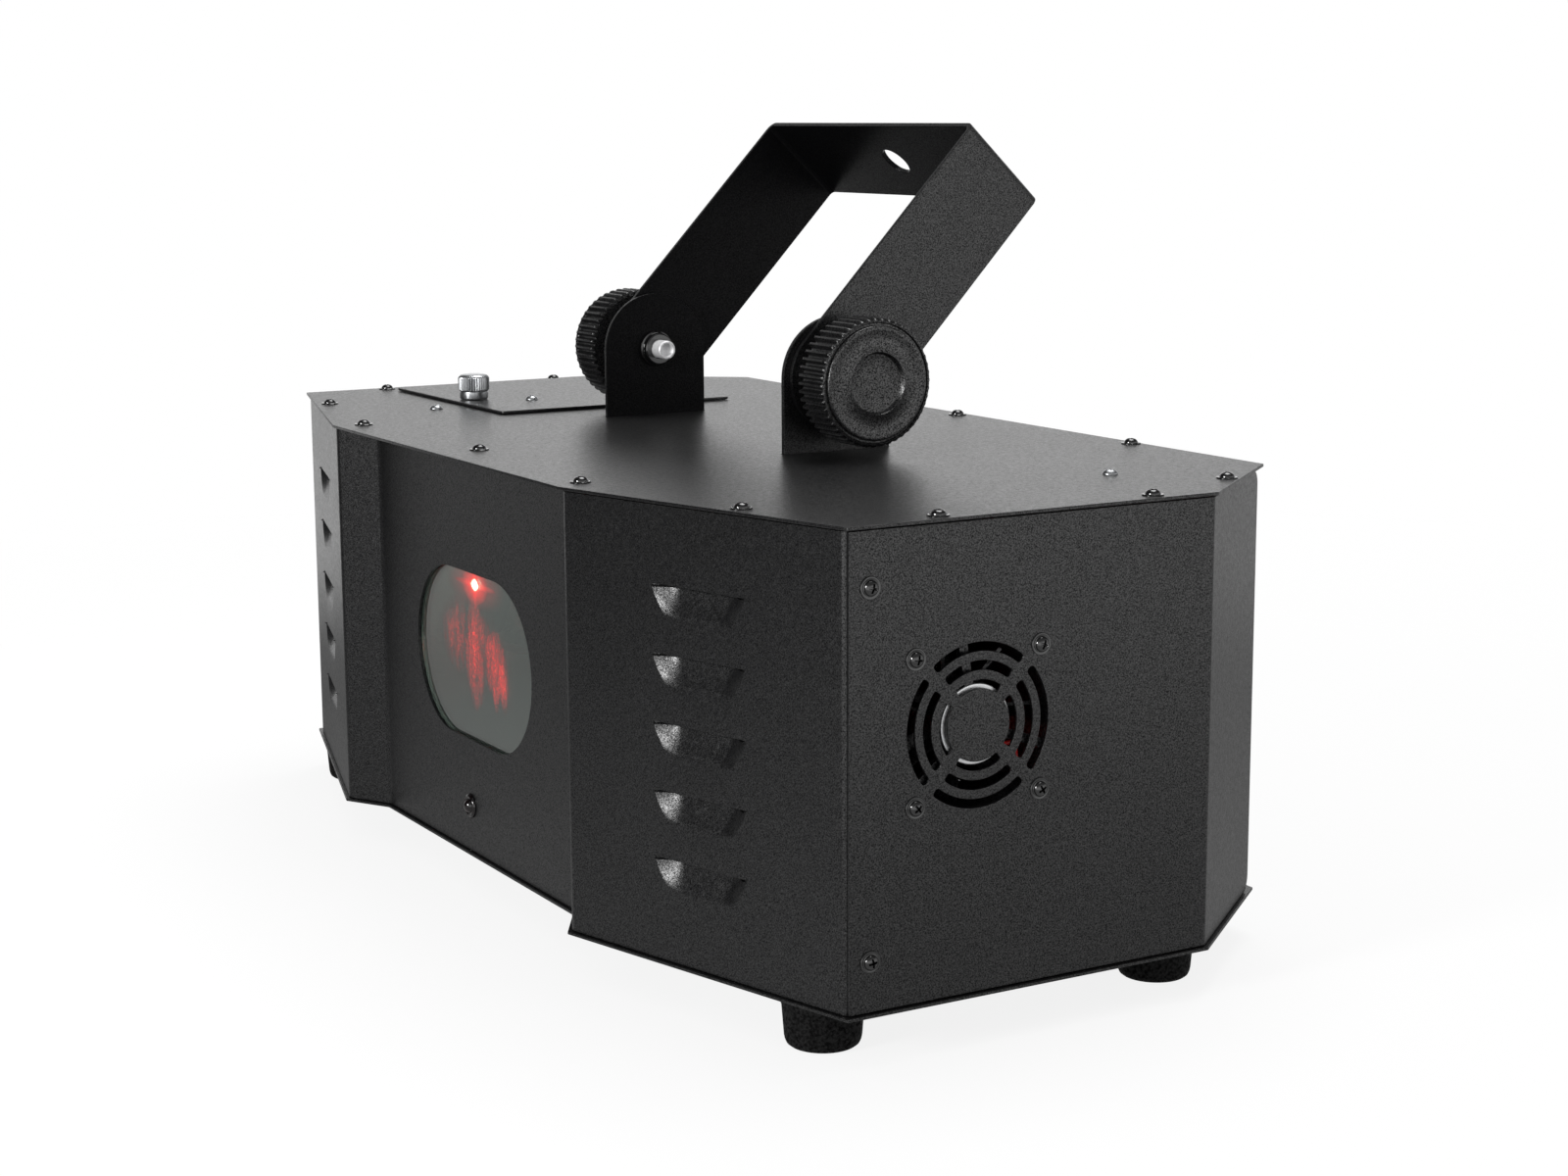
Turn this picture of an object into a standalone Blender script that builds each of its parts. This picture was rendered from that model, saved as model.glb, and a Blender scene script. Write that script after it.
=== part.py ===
# Effect light with a rotating gobo wheel: folded sheet steel housing, tilting yoke and its optics.
# Lengths are in metres. X is to the right, Y to the rear and Z up, and the feet stand on Z = 0.
# The housing is built in its own frame: Y = 0 at the cover's front edge, Z = 0 under the base plate.
from math import cos, pi, radians, sin, tan

import bmesh
import bpy
from mathutils import Matrix, Vector

# Housing, in plan and in height
HALF_WIDTH = 0.247
FRONT_HALF = 0.112
REAR_HALF = 0.197
CORNER_SETBACK = 0.0375
SIDE_REAR = 0.188
DEPTH = 0.250
BODY_HEIGHT = 0.165
FOOT_HEIGHT = 0.017
SHEET = 0.0012
OVERHANG = 0.0015
BEND_RADIUS = 0.0016
BEND_STEPS = 3
FLANGE = 0.016
SHEET_CORNER = 0.006
SIDE_SCREW_Y = 0.0470
SIDE_SCREW_HEIGHTS = (0.0190, 0.1444)
SCREW_HOLE_RADIUS = 0.0021

# Clearances: between pieces that touch, under the cover, and how deep a cutter reaches
GAP = 0.0003
COVER_GAP = 0.0006
CUT_DEPTH = 0.010
FINE = 0.00001

# Recessed middle of the front
RECESS_HALF = 0.0920
RECESS_DEPTH = 0.0118

# Louvres of the front corners, measured along the face from its inner edge
LOUVRE_COUNT = 5
LOUVRE_PITCH = 0.0243
LOUVRE_TOP = 0.1358
LOUVRE_START = 0.0455
LOUVRE_LENGTH = 0.0455
LOUVRE_HEIGHT = 0.0116
LOUVRE_INSET = 0.0072
LOUVRE_DEPTH = 0.0034
LOUVRE_COLUMNS = (0, 0.09, 0.23, 0.5, 0.77, 0.91, 1)
LOUVRE_STEPS = 3
SLIT_KERF = 0.0005

# Window, its glass and the infrared receiver
OPTIC_HEIGHT = 0.0827
WINDOW_REACH = 0.056
WINDOW_HALF_HEIGHT = 0.0343
WINDOW_HEIGHT = 0.0820
WINDOW_STEPS = 20
GASKET_THICKNESS = 0.0026
GASKET_MARGIN = 0.0015
GLASS_THICKNESS = 0.003
GLASS_SIZE = (0.136, 0.086)
GLASS_CORNER = 0.005
RECEIVER_PLACE = (-0.0055, 0.0202)
RECEIVER_HOLE_RADIUS = 0.0036
RECEIVER_PROFILE = (
    (0, 0.0030), (0.0017, 0.0026), (0.0029, 0.0012), (0.0040, 0.0013), (0.0048, 0.0009),
    (0.0050, GAP), (0.0033, GAP), (0.0033, -0.0060), (0, -0.0060))

# Fan and its grille in the right side
FAN_PLACE = (0.0895, 0.0940)
FAN_SIZE = 0.060
FAN_DEPTH = 0.025
FAN_HOLE_SPACING = 0.050
FAN_BORE = 0.0570
FAN_CORNER = 0.003
FAN_STRUTS = 3
FAN_STRUT_START = radians(100)
FAN_STRUT_SIZE = (0.0024, 0.0170, 0.0034)
FAN_STRUT_MIDDLE = 0.0206
FAN_PLATE_RADIUS = 0.0140
FAN_PLATE_INSET = 0.0020
ROTOR_SHIFT = 0.0004
ROTOR_RADIUS = 0.0138
ROTOR_DEPTH = 0.0170
ROTOR_CHAMFER = 0.0010
BLADES = 7
BLADE_STATIONS = 4
BLADE_RADII = (0.0130, 0.0272)
BLADE_PITCH = (radians(52), radians(32))
BLADE_CHORD = (0.0075, 0.0110)
BLADE_CAMBER = 0.0012
BLADE_WALL = 0.0012
GRILLE_RINGS = ((0.0252, 0.0283), (0.0188, 0.0220), (0.0125, 0.0155))
GRILLE_SPOKE = 0.0046

# Tilt axis, brackets, yoke and clamp knobs
AXIS_Y = 0.1362
AXIS_HEIGHT = 0.1937
TILT = radians(43.4)
YOKE_OUTER = 0.0800
YOKE_SHEET = 0.0020
YOKE_WIDTH = 0.0433
YOKE_REACH = 0.1129
YOKE_BEND = 0.0045
YOKE_HOLE = 0.014
BRACKET_SHEET = 0.0020
BRACKET_WIDTH = 0.048
BRACKET_FOOT = 0.020
BRACKET_BEND = 0.0026
STUD_DIAMETER = 0.008
STUD_HOLE = 0.0088
STUD_INNER_END = 0.0645
STUD_DEPTH_IN_KNOB = 0.0063
STUD_CHAMFER = 0.0008
SOCKET_RADIUS = 0.0023
SOCKET_DEPTH = 0.0018
NUT_DIAMETER = 0.0155
NUT_THICKNESS = 0.0040
NUT_FLANGE = 0.0010
KNOB_BACK = 0.0896
KNOB_FACE = 0.1080
KNOB_RADIUS = 0.0247
KNOB_RIBS = 32
KNOB_RIB_LENGTH = 0.0158
KNOB_RIB_SHARE = 0.34
KNOB_GROOVE_FLOOR = (0.50, 0.84)
KNOB_GROOVE_DEPTH = 0.0013
KNOB_HOLLOW_RADIUS = 0.0175
KNOB_BORE_DEPTH = 0.0060

# Hatch in the cover and its thumbscrew
HATCH_X = (-0.231, -0.1085)
HATCH_Y = (0.077, 0.191)
HATCH_CORNER = 0.002
HATCH_OPENING_X = (-0.224, -0.1120)
HATCH_OPENING_Y = (0.099, 0.184)
HATCH_OPENING_CORNER = 0.006
LIP_HEIGHT = 0.0062
LIP_MARGIN = (0.016, 0.003)
THUMBSCREW_PLACE = (-0.162, 0.087)
THUMBSCREW_SHANK = 0.005
THUMBSCREW_CLEARANCE = 0.0008
THUMBSCREW_TOP = 0.0115
THUMBSCREW_LENGTH = 0.0080
COLLAR_RADIUS = 0.0064
KNURL_RADIUS = 0.0071
KNURL_DEPTH = 0.0005
KNURL_LENGTH = 0.0068
KNURL_MIDDLE = 0.0072
KNURLS = 20

# Feet
FOOT_PLACES = ((0.2175, 0.0455), (0.2165, 0.1875))
FOOT_TOP_RADIUS = 0.0145
FOOT_BOTTOM_RADIUS = 0.0130

# Small pan-head screws: their head, and the length of the shank
PAN_HEAD = ((0, 0.0022), (0.0021, 0.0017), (0.0028, 0.0008), (0.0038, GAP))
PAN_SHANK = (0.0017, 0.008)

# Optics behind the window: the light goes to the right, and the mirror turns it to the front
MIRROR_Y = 0.076
MIRROR_RADIUS = 0.046
WHEEL_RADIUS = 0.040
WHEEL_X = -0.140
WHEEL_DROP = 0.027
WHEEL_SHEET = 0.0010
WHEEL_OPENING_RADIUS = 0.0080
WHEEL_PLACES = 7
WHEEL_HUB = (
    (0, 0.0060), (0.0055, 0.0060), (0.0060, 0.0052), (0.0060, -0.0030), (0.0025, -0.0030),
    (0.0025, -0.0162), (0, -0.0162))
PETAL = (
    (0.0022, 0.0), (0.0040, 0.0013), (0.0056, 0.0014), (0.0072, 0.0), (0.0056, -0.0014), (0.0040, -0.0013))
MOTOR_SIDE = 0.0240
MOTOR_DEPTH = 0.0200
MOTOR_EDGE = 0.002
MOTOR_BORE_RADIUS = 0.0029
CONDENSER_RADIUS = 0.0135
CONDENSER_LENS = (0.0030, 0.0045)
TRAY_X = (-0.205, -0.062)
TRAY_HALF = 0.042
TRAY_SHEET = 0.0015
TRAY_TOP = 0.128
LAMP_UPRIGHT_X = -0.196
WHEEL_UPRIGHT_X = WHEEL_X - 0.010
BARREL_UPRIGHT_X = -0.098
LAMP_HOLE_RADIUS = 0.0160
SHAFT_HOLE_RADIUS = 0.0030
BARREL_HOLE_RADIUS = 0.0203
BARREL_RADIUS = 0.0199
BARREL_BORE = 0.0165
BARREL_HALF = 0.0180
PROJECTION_RADIUS = 0.0162
PROJECTION_LENS = (0.0030, 0.0052)
PROJECTION_LENS_SHIFT = 0.0100
HEAT_SINK_SIZE = (0.0320, 0.0700, 0.0700)
FIN_GAPS = 9
FIN_PITCH = 0.0075
FIN_GAP = (0.0240, 0.0045, 0.0720)
LAMP_BOARD = (0.0150, 0.0016)
LAMP_DOME = ((0, 0.0026), (0.0016, 0.0021), (0.0026, -0.0006), (0, -0.0006))
LAMP_DOME_PLACE = 0.0045
MIRROR_RINGS = ((0.0, -0.0100), (0.016, -0.0088), (0.031, -0.0052), (MIRROR_RADIUS, 0.0))
MIRROR_FACETS = 14
MIRROR_THICKNESS = 0.0025
STAND_DISTANCE = 0.0185
STAND_HEIGHT = 0.150
STAND_WIDTH = 0.0400
STAND_FOOT = 0.0255
STAND_PEG = (0.006, 0.0056, 0.0157)
STAND_ARM_WIDTH = 0.0160
LASER_Y = (0.030, 0.062)
LASER_HEIGHT = 0.1422
LASER_RADIUS = 0.0060
LASER_APERTURE = 0.0026
LASER_RECESS = 0.0012

# Rear panel and what it holds
REAR_Y = DEPTH - 0.0032
INLET_PLACE = (-0.130, 0.050)
INLET_CUTOUT = (0.0280, 0.0340)
INLET_FLANGE = (0.0400, 0.0024, 0.0420)
INLET_BODY = (0.0272, 0.0240, 0.0332)
INLET_WELL = (0.0244, 0.0166, 0.0062)
FUSE_WELL = (0.0240, 0.0084, -0.0104)
WELL_DEPTH = 0.0130
INLET_PINS = ((-0.0070, 0.0042), (0.0070, 0.0042), (0, 0.0086))
INLET_PIN = (0.0020, 0.0110, 0.0040)
FUSE_DRAWER = (0.0232, 0.0140, 0.0076)
FUSE_NIB = (0.0100, 0.0020, 0.0022)
SIGNAL_IN_PLACE = (0.100, 0.050)
SIGNAL_OUT_PLACE = (0.145, 0.050)
SIGNAL_CUTOUT_RADIUS = 0.0120
SIGNAL_FLANGE = (0.0260, 0.0022, 0.0310)
SIGNAL_BARREL = (0.0116, 0.0200)
SIGNAL_WELL = (0.0096, 0.0140)
SIGNAL_PIN = (0.0012, 0.0110)
SIGNAL_HOLE = (0.0016, 0.0120)
SIGNAL_POLES = (pi / 6, 5 * pi / 6, 3 * pi / 2)
SIGNAL_POLE_CIRCLE = 0.0058
DISPLAY_PLACE = (0.020, 0.105)
DISPLAY_CUTOUT = (0.0404, 0.0164)
DISPLAY_WINDOW = (0.0440, 0.0012, 0.0200)
DISPLAY_BODY = (0.0396, 0.0130, 0.0156)
DISPLAY_EDGE = 0.0003
BUTTONS = 4
BUTTON_PITCH = 0.015
BUTTON_DROP = 0.022
BUTTON_RADIUS = 0.0035
BUTTON_CLEARANCE = 0.0004
BUTTON_PROFILE = (
    (0, 0.0018), (BUTTON_RADIUS - 0.0006, 0.0018), (BUTTON_RADIUS, 0.0012), (BUTTON_RADIUS, -0.0035),
    (0.0050, -0.0035), (0.0050, -0.0048), (0.0015, -0.0048), (0.0015, -0.0150), (0, -0.0150))
BOARD_SIZE = (0.0800, 0.0016, 0.0600)
BOARD_DROP = 0.006
BOARD_DISTANCE = 0.0175
BOARD_POST = (0.0025, 0.0168)
BOARD_POST_PLACE = (0.0340, 0.0076, 0.016)

# Power supply: its board, and the parts on it with their places on the board
SUPPLY_PLACE = (0.120, 0.160)
SUPPLY_BOARD = (0.1000, 0.0600, 0.0100)
TRANSFORMER = ((0.0300, 0.0260, 0.0280), (0.008, 0, 0.0200))
COOLING_PLATE = ((0.0030, 0.0500, 0.0300), (-0.0350, 0, 0.0200))
CAPACITORS = ((0.0080, 0.0250, (0.038, -0.015, 0.0200)), (0.0060, 0.0200, (0.038, 0.015, 0.0180)))

# Materials: sRGB colour, roughness and metallic value
FINISHES = {
    "powder_coated_steel": ("1c1c1d", 0.55, 0.0),
    "black_abs": ("161617", 0.48, 0.0),
    "rubber": ("101010", 0.75, 0.0),
    "zinc_plated_steel": ("c2c3c5", 0.30, 1.0),
    "blackened_steel": ("131313", 0.28, 0.0),
    "tinted_glass": ("6c7872", 0.08, 0.0),
    "clear_glass": ("cfd8d6", 0.05, 0.0),
    "receiver_plastic": ("0a0a0b", 0.12, 0.0),
    "aluminium": ("aeb1b4", 0.38, 1.0),
    "mirror": ("d6dadb", 0.05, 1.0),
    "circuit_board": ("14402a", 0.50, 0.0),
    "fan_plastic": ("0e0e0f", 0.50, 0.0),
}

LEFT, RIGHT = -1, 1
SMOOTH_ANGLE = radians(35)


def clear_scene():
    """Remove everything that the file starts with."""
    for item in list(bpy.data.objects):
        bpy.data.objects.remove(item, do_unlink=True)


clear_scene()
light = bpy.data.collections.new("gobo_flower_light")
cutters = bpy.data.collections.new("cutters")
bpy.context.scene.collection.children.link(light)
bpy.context.scene.collection.children.link(cutters)
finish_materials = {}


def linear(channel):
    """Turn one sRGB channel to a linear one."""
    if channel <= 0.04045:
        return channel / 12.92
    return ((channel + 0.055) / 1.055) ** 2.4


def finish(name):
    """Return the material of a named finish, made on its first use."""
    if name not in finish_materials:
        colour, roughness, metallic = FINISHES[name]
        channels = [linear(int(colour[i:i + 2], 16) / 255) for i in (0, 2, 4)]
        material = bpy.data.materials.new(name)
        material.use_nodes = True
        shader = material.node_tree.nodes["Principled BSDF"]
        shader.inputs["Base Color"].default_value = (*channels, 1)
        shader.inputs["Roughness"].default_value = roughness
        shader.inputs["Metallic"].default_value = metallic
        finish_materials[name] = material
    return finish_materials[name]


def pivot(name, place, parent=None, tilt=0.0):
    """Add an empty that carries pieces, on a joint's axis where they move."""
    empty = bpy.data.objects.new(name, None)
    empty.location = place
    empty.rotation_euler = (tilt, 0, 0)
    empty.parent = parent
    light.objects.link(empty)
    return empty


housing = pivot("housing", (0, -DEPTH / 2, FOOT_HEIGHT))


def place(name, mesh, parent, finish_name=None, location=(0, 0, 0), rotation=(0, 0, 0)):
    """Link a mesh as a named sub-part, or as a cutter where it has no finish."""
    item = bpy.data.objects.new(name, mesh)
    item.parent = parent
    item.location = location
    item.rotation_euler = rotation
    if finish_name:
        mesh.materials.clear()
        mesh.materials.append(finish(finish_name))
        light.objects.link(item)
    else:
        cutters.objects.link(item)
        item.hide_render = True
        item.display_type = "WIRE"
    return item


def mesh_from(bm, name):
    """Close a bmesh into a mesh with its faces outward, shaded smooth up to an angle."""
    bmesh.ops.recalc_face_normals(bm, faces=bm.faces)
    mesh = bpy.data.meshes.new(name)
    bm.to_mesh(mesh)
    bm.free()
    mesh.shade_smooth()
    mesh.set_sharp_from_angle(angle=SMOOTH_ANGLE)
    return mesh


def add_box(bm, size, centre, turn=None):
    """Add a box to a bmesh."""
    matrix = Matrix.Translation(centre)
    if turn:
        matrix = matrix @ turn
    bmesh.ops.create_cube(bm, size=1, matrix=matrix @ Matrix.Diagonal((*size, 1)))


def axis_turn(axis):
    """Turn the Z axis onto the named axis."""
    turns = {"X": Matrix.Rotation(pi / 2, 4, "Y"), "Y": Matrix.Rotation(-pi / 2, 4, "X"),
             "Z": Matrix.Identity(4)}
    return turns[axis]


def add_rod(bm, radius, length, centre, axis="Z", segments=32, end_radius=None):
    """Add a cylinder or a cone to a bmesh."""
    bmesh.ops.create_cone(
        bm, cap_ends=True, segments=segments, radius1=radius, depth=length,
        radius2=radius if end_radius is None else end_radius,
        matrix=Matrix.Translation(centre) @ axis_turn(axis))


def box(name, size, centre, parent, finish_name=None, edge=0.0):
    """A box, with its edges rounded where a width is given."""
    bm = bmesh.new()
    add_box(bm, size, (0, 0, 0))
    item = place(name, mesh_from(bm, name), parent, finish_name, centre)
    if edge:
        bevel(item, edge)
    return item


def rod(name, radius, length, centre, axis, parent, finish_name=None, segments=32):
    """A cylinder along an axis."""
    bm = bmesh.new()
    add_rod(bm, radius, length, (0, 0, 0), axis, segments)
    return place(name, mesh_from(bm, name), parent, finish_name, centre)


def turned(name, profile, centre, axis, parent, finish_name=None, steps=32, flip=False):
    """A turned piece from (radius, height) points, listed from the top down its outer side."""
    mesh = bpy.data.meshes.new(name)
    closed = profile[0] == profile[-1]
    points = [(radius, 0, height) for radius, height in (profile[:-1] if closed else profile)]
    edges = [(i, i + 1) for i in range(len(points) - 1)]
    mesh.from_pydata(points, edges + ([(len(points) - 1, 0)] if closed else []), [])
    turn = axis_turn(axis)
    if flip:
        turn = turn @ Matrix.Rotation(pi, 4, "X")
    item = place(name, mesh, parent, finish_name, centre, turn.to_euler())
    screw = item.modifiers.new("Turn", "SCREW")
    screw.axis = "Z"
    screw.angle = 2 * pi
    screw.steps = steps
    screw.render_steps = steps
    screw.use_merge_vertices = True
    screw.merge_threshold = FINE
    return item


def bevel(item, width, segments=2, angle=40.0):
    """Round the sharp edges of a piece."""
    modifier = item.modifiers.new("Bevel", "BEVEL")
    modifier.width = width
    modifier.segments = segments
    modifier.limit_method = "ANGLE"
    modifier.angle_limit = radians(angle)
    modifier.use_clamp_overlap = True
    return modifier


def boolean(item, tool, operation="DIFFERENCE"):
    """Cut a piece with a cutter, or join the cutter's shape to it."""
    modifier = item.modifiers.new(operation.title(), "BOOLEAN")
    modifier.operation = operation
    modifier.solver = "EXACT"
    modifier.object = tool
    return modifier


def outline_mesh(name, outlines, thickness):
    """A flat plate from one outline, with any further outlines as holes in it, as a closed mesh."""
    curve = bpy.data.curves.new(name, "CURVE")
    curve.dimensions = "2D"
    curve.fill_mode = "BOTH"
    curve.extrude = thickness / 2
    for points in outlines:
        spline = curve.splines.new("POLY")
        spline.points.add(len(points) - 1)
        for point, (x, y) in zip(spline.points, points):
            point.co = (x, y, 0, 1)
        spline.use_cyclic_u = True
    source = bpy.data.objects.new(name, curve)
    light.objects.link(source)
    graph = bpy.context.evaluated_depsgraph_get()
    mesh = bpy.data.meshes.new_from_object(source.evaluated_get(graph))
    bpy.data.objects.remove(source, do_unlink=True)
    bm = bmesh.new()
    bm.from_mesh(mesh)
    bmesh.ops.remove_doubles(bm, verts=bm.verts, dist=FINE)
    bmesh.ops.recalc_face_normals(bm, faces=bm.faces)
    bm.to_mesh(mesh)
    bm.free()
    mesh.name = name
    mesh.shade_smooth()
    mesh.set_sharp_from_angle(angle=SMOOTH_ANGLE)
    return mesh


def arc(centre, radius, start, end, steps):
    """Points on an arc in the plane, from one angle to another."""
    angles = [start + (end - start) * i / steps for i in range(steps + 1)]
    return [(centre[0] + radius * cos(a), centre[1] + radius * sin(a)) for a in angles]


def round_corners(points, radius, steps, closed=False):
    """Replace the corners of a path by arcs, as a press brake bends sheet."""
    corners = [Vector(p) for p in points]
    count = len(corners)
    result = [] if closed else [tuple(corners[0])]
    for i in range(0 if closed else 1, count if closed else count - 1):
        here = corners[i]
        back = (corners[i - 1] - here).normalized()
        ahead = (corners[(i + 1) % count] - here).normalized()
        half = back.angle(ahead) / 2
        reach = radius / tan(half)
        middle = here + (back + ahead).normalized() * (radius / sin(half))
        first = here + back * reach - middle
        turn = first.angle_signed(here + ahead * reach - middle)
        for k in range(steps + 1):
            swung = first.copy()
            swung.rotate(Matrix.Rotation(-turn * k / steps, 2))
            result.append(tuple(middle + swung))
    if not closed:
        result.append(tuple(corners[-1]))
    return result


def drawn_in(points, distance):
    """Move every edge of a closed outline, listed anticlockwise, inward by a distance."""
    corners = [Vector(p) for p in points]
    result = []
    for i, here in enumerate(corners):
        before = (here - corners[i - 1]).normalized()
        after = (corners[(i + 1) % len(corners)] - here).normalized()
        normal_before = Vector((-before.y, before.x))
        normal_after = Vector((-after.y, after.x))
        along = (normal_before + normal_after).normalized()
        result.append(tuple(here + along * (distance / along.dot(normal_before))))
    return result


def cover_outline():
    """The cover: a long octagon whose front edge runs straight over the recess."""
    right = [(FRONT_HALF, 0), (HALF_WIDTH, CORNER_SETBACK), (HALF_WIDTH, SIDE_REAR), (REAR_HALF, DEPTH)]
    return [(-x, y) for x, y in right[:1]] + right + [(-x, y) for x, y in reversed(right[1:])]


def base_outline():
    """The base plate: the same octagon, but it follows the recess."""
    recess = [(-RECESS_HALF, RECESS_DEPTH), (RECESS_HALF, RECESS_DEPTH)]
    corners = cover_outline()
    return corners[:1] + recess + corners[1:]


WALL = drawn_in(base_outline(), OVERHANG)
WALL_BOTTOM = SHEET + GAP
WALL_TOP = BODY_HEIGHT - SHEET - COVER_GAP
FRONT_LEFT, RECESS_LEFT, RECESS_RIGHT, FRONT_RIGHT, SIDE_FRONT, SIDE_BACK, REAR_CORNER = WALL[:7]
SIDE_X = SIDE_FRONT[0]
PANEL_Y = RECESS_LEFT[1]


def sheet_mesh(name, path, heights, shape=None, trim_far_end=False):
    """An upright sheet drawn up from a path in plan, through some heights. shape may then press it."""
    bm = bmesh.new()
    row = [bm.verts.new((x, y, heights[0])) for x, y in path]
    edges = [bm.edges.new(pair) for pair in zip(row, row[1:])]
    for low, high in zip(heights, heights[1:]):
        grown = bmesh.ops.extrude_edge_only(bm, edges=edges)["geom"]
        moved = [part for part in grown if isinstance(part, bmesh.types.BMVert)]
        bmesh.ops.translate(bm, verts=moved, vec=(0, 0, high - low))
        edges = [part for part in grown if isinstance(part, bmesh.types.BMEdge)]
    if shape:
        shape(bm)
    bmesh.ops.reverse_faces(bm, faces=bm.faces)
    if trim_far_end:
        end = Vector((*path[-1], 0))
        tips = [v for v in bm.verts if (Vector((v.co.x, v.co.y, 0)) - end).length < FINE]
        bmesh.ops.bevel(bm, geom=tips, offset=SHEET_CORNER, segments=4, profile=0.5, affect="VERTICES")
    mesh = bpy.data.meshes.new(name)
    bm.to_mesh(mesh)
    bm.free()
    mesh.shade_smooth()
    mesh.set_sharp_from_angle(angle=SMOOTH_ANGLE)
    return mesh


def solid_sheet(item, thickness=SHEET):
    """Give an open sheet its thickness, inward from its outer face."""
    modifier = item.modifiers.new("Sheet", "SOLIDIFY")
    modifier.thickness = thickness
    modifier.offset = -1
    modifier.use_even_offset = True
    modifier.use_rim = True
    return modifier


def louvre_rows():
    """Heights of the sheet's rows: each louvre has its slit and some rows under it."""
    rows = [WALL_BOTTOM, WALL_TOP]
    for louvre in range(LOUVRE_COUNT):
        top = LOUVRE_TOP - louvre * LOUVRE_PITCH
        rows += [top - LOUVRE_HEIGHT * step / LOUVRE_STEPS for step in range(LOUVRE_STEPS + 1)]
    return sorted(rows)


def press_louvres(bm, start, along, inward):
    """Slit one louvred face and press the metal under each slit inward."""
    def station(vert):
        return (Vector((vert.co.x, vert.co.y)) - start).dot(along)

    def on_face(vert):
        return abs((Vector((vert.co.x, vert.co.y)) - start).dot(inward)) < FINE

    slack = 2 * FINE
    end = LOUVRE_START + LOUVRE_LENGTH
    for louvre in range(LOUVRE_COUNT):
        top = LOUVRE_TOP - louvre * LOUVRE_PITCH
        slit = [e for e in bm.edges if all(
            on_face(v) and abs(v.co.z - top) < slack and LOUVRE_START - slack < station(v) < end + slack
            for v in e.verts)]
        bmesh.ops.split_edges(bm, edges=slit)
        pressed = set()
        for face in bm.faces:
            centre = face.calc_center_median()
            if not top - LOUVRE_HEIGHT < centre.z < top:
                continue
            if all(on_face(v) for v in face.verts) and all(
                    LOUVRE_START - slack < station(v) < end + slack for v in face.verts):
                pressed.update(face.verts)
        for vert in pressed:
            press_vertex(vert, station(vert), top, along, inward)


def press_vertex(vert, station, top, along, inward):
    """Move one point of a louvre: its outline narrows downward, and it is deepest at the slit."""
    down = max(0.0, min(1.0, (top - vert.co.z) / LOUVRE_HEIGHT))
    across = (station - LOUVRE_START) / LOUVRE_LENGTH
    inset = LOUVRE_INSET * down ** 1.5
    new_station = LOUVRE_START + inset + across * (LOUVRE_LENGTH - 2 * inset)
    from_end = min(across, 1 - across) / LOUVRE_COLUMNS[2]
    rise = sin(min(1.0, from_end) * pi / 2) ** 1.3 if from_end > 0 else 0.0
    depth = LOUVRE_DEPTH * rise * (1 - down ** 1.4)
    shift = along * (new_station - station) + inward * depth
    vert.co.x += shift.x
    vert.co.y += shift.y
    if down == 0 and 0.001 < across < 0.999:
        vert.co.z -= SLIT_KERF


def merge_rows(bm, low, high):
    """Take out the rows' edges everywhere but between the louvres' first and last column."""
    spare = [e for e in bm.edges if len(e.link_faces) == 2 and abs(e.verts[0].co.z - e.verts[1].co.z) < FINE
             and not all(low - FINE < abs(v.co.x) < high + FINE for v in e.verts)]
    bmesh.ops.dissolve_edges(bm, edges=spare, use_verts=True)


def window_outline(grow=0.0):
    """An obround: two half circles joined by straight edges, grown outward by a distance."""
    middle = WINDOW_REACH - WINDOW_HALF_HEIGHT
    right = arc((middle, 0), WINDOW_HALF_HEIGHT + grow, -pi / 2, pi / 2, WINDOW_STEPS)
    return right + [(-x, -y) for x, y in right]


def front_shell():
    """One folded sheet: both louvred corners, the slanted recess walls and the window panel."""
    inner_x = SIDE_X - SHEET - GAP
    lean = (SIDE_FRONT[1] - FRONT_RIGHT[1]) / (SIDE_FRONT[0] - FRONT_RIGHT[0])
    fold_y = SIDE_FRONT[1] - (SIDE_X - inner_x) * lean
    right = [RECESS_RIGHT, FRONT_RIGHT, (inner_x, fold_y), (inner_x, fold_y + FLANGE)]
    bent = round_corners([(0, PANEL_Y)] + right, BEND_RADIUS, BEND_STEPS)[1:]
    start = Vector(FRONT_RIGHT)
    along = (Vector((inner_x, fold_y)) - start).normalized()
    stations = [LOUVRE_START + LOUVRE_LENGTH * step for step in LOUVRE_COLUMNS]
    columns = [tuple(start + along * station) for station in stations]
    split = 2 * (BEND_STEPS + 1)
    bent = bent[:split] + columns + bent[split:]
    path = [(-x, y) for x, y in reversed(bent)] + bent

    def press_both(bm):
        press_louvres(bm, start, along, Vector((-along.y, along.x)))
        mirrored_start = Vector((-start.x, start.y))
        press_louvres(bm, mirrored_start, Vector((-along.x, along.y)), Vector((along.y, along.x)))
        merge_rows(bm, columns[0][0], columns[-1][0])

    shell = place("front_shell", sheet_mesh("front_shell", path, louvre_rows(), press_both),
                  housing, "powder_coated_steel")
    solid_sheet(shell)
    window = place("window_cutter", outline_mesh("window_cutter", [window_outline()], CUT_DEPTH), housing,
                   None, (0, PANEL_Y, WINDOW_HEIGHT), (pi / 2, 0, 0))
    boolean(shell, window)
    x, z = RECEIVER_PLACE
    boolean(shell, rod("receiver_cutter", RECEIVER_HOLE_RADIUS, CUT_DEPTH, (x, PANEL_Y, z), "Y", housing))
    for side in (LEFT, RIGHT):
        cut_side_screws(shell, side)
    return shell


def cut_side_screws(item, side):
    """Cut the holes of one side's two screws through a sheet."""
    for height in SIDE_SCREW_HEIGHTS:
        centre = (side * SIDE_X, SIDE_SCREW_Y, height)
        boolean(item, rod("side_screw_hole", SCREW_HOLE_RADIUS, CUT_DEPTH, centre, "X", housing, None, 12))


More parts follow.
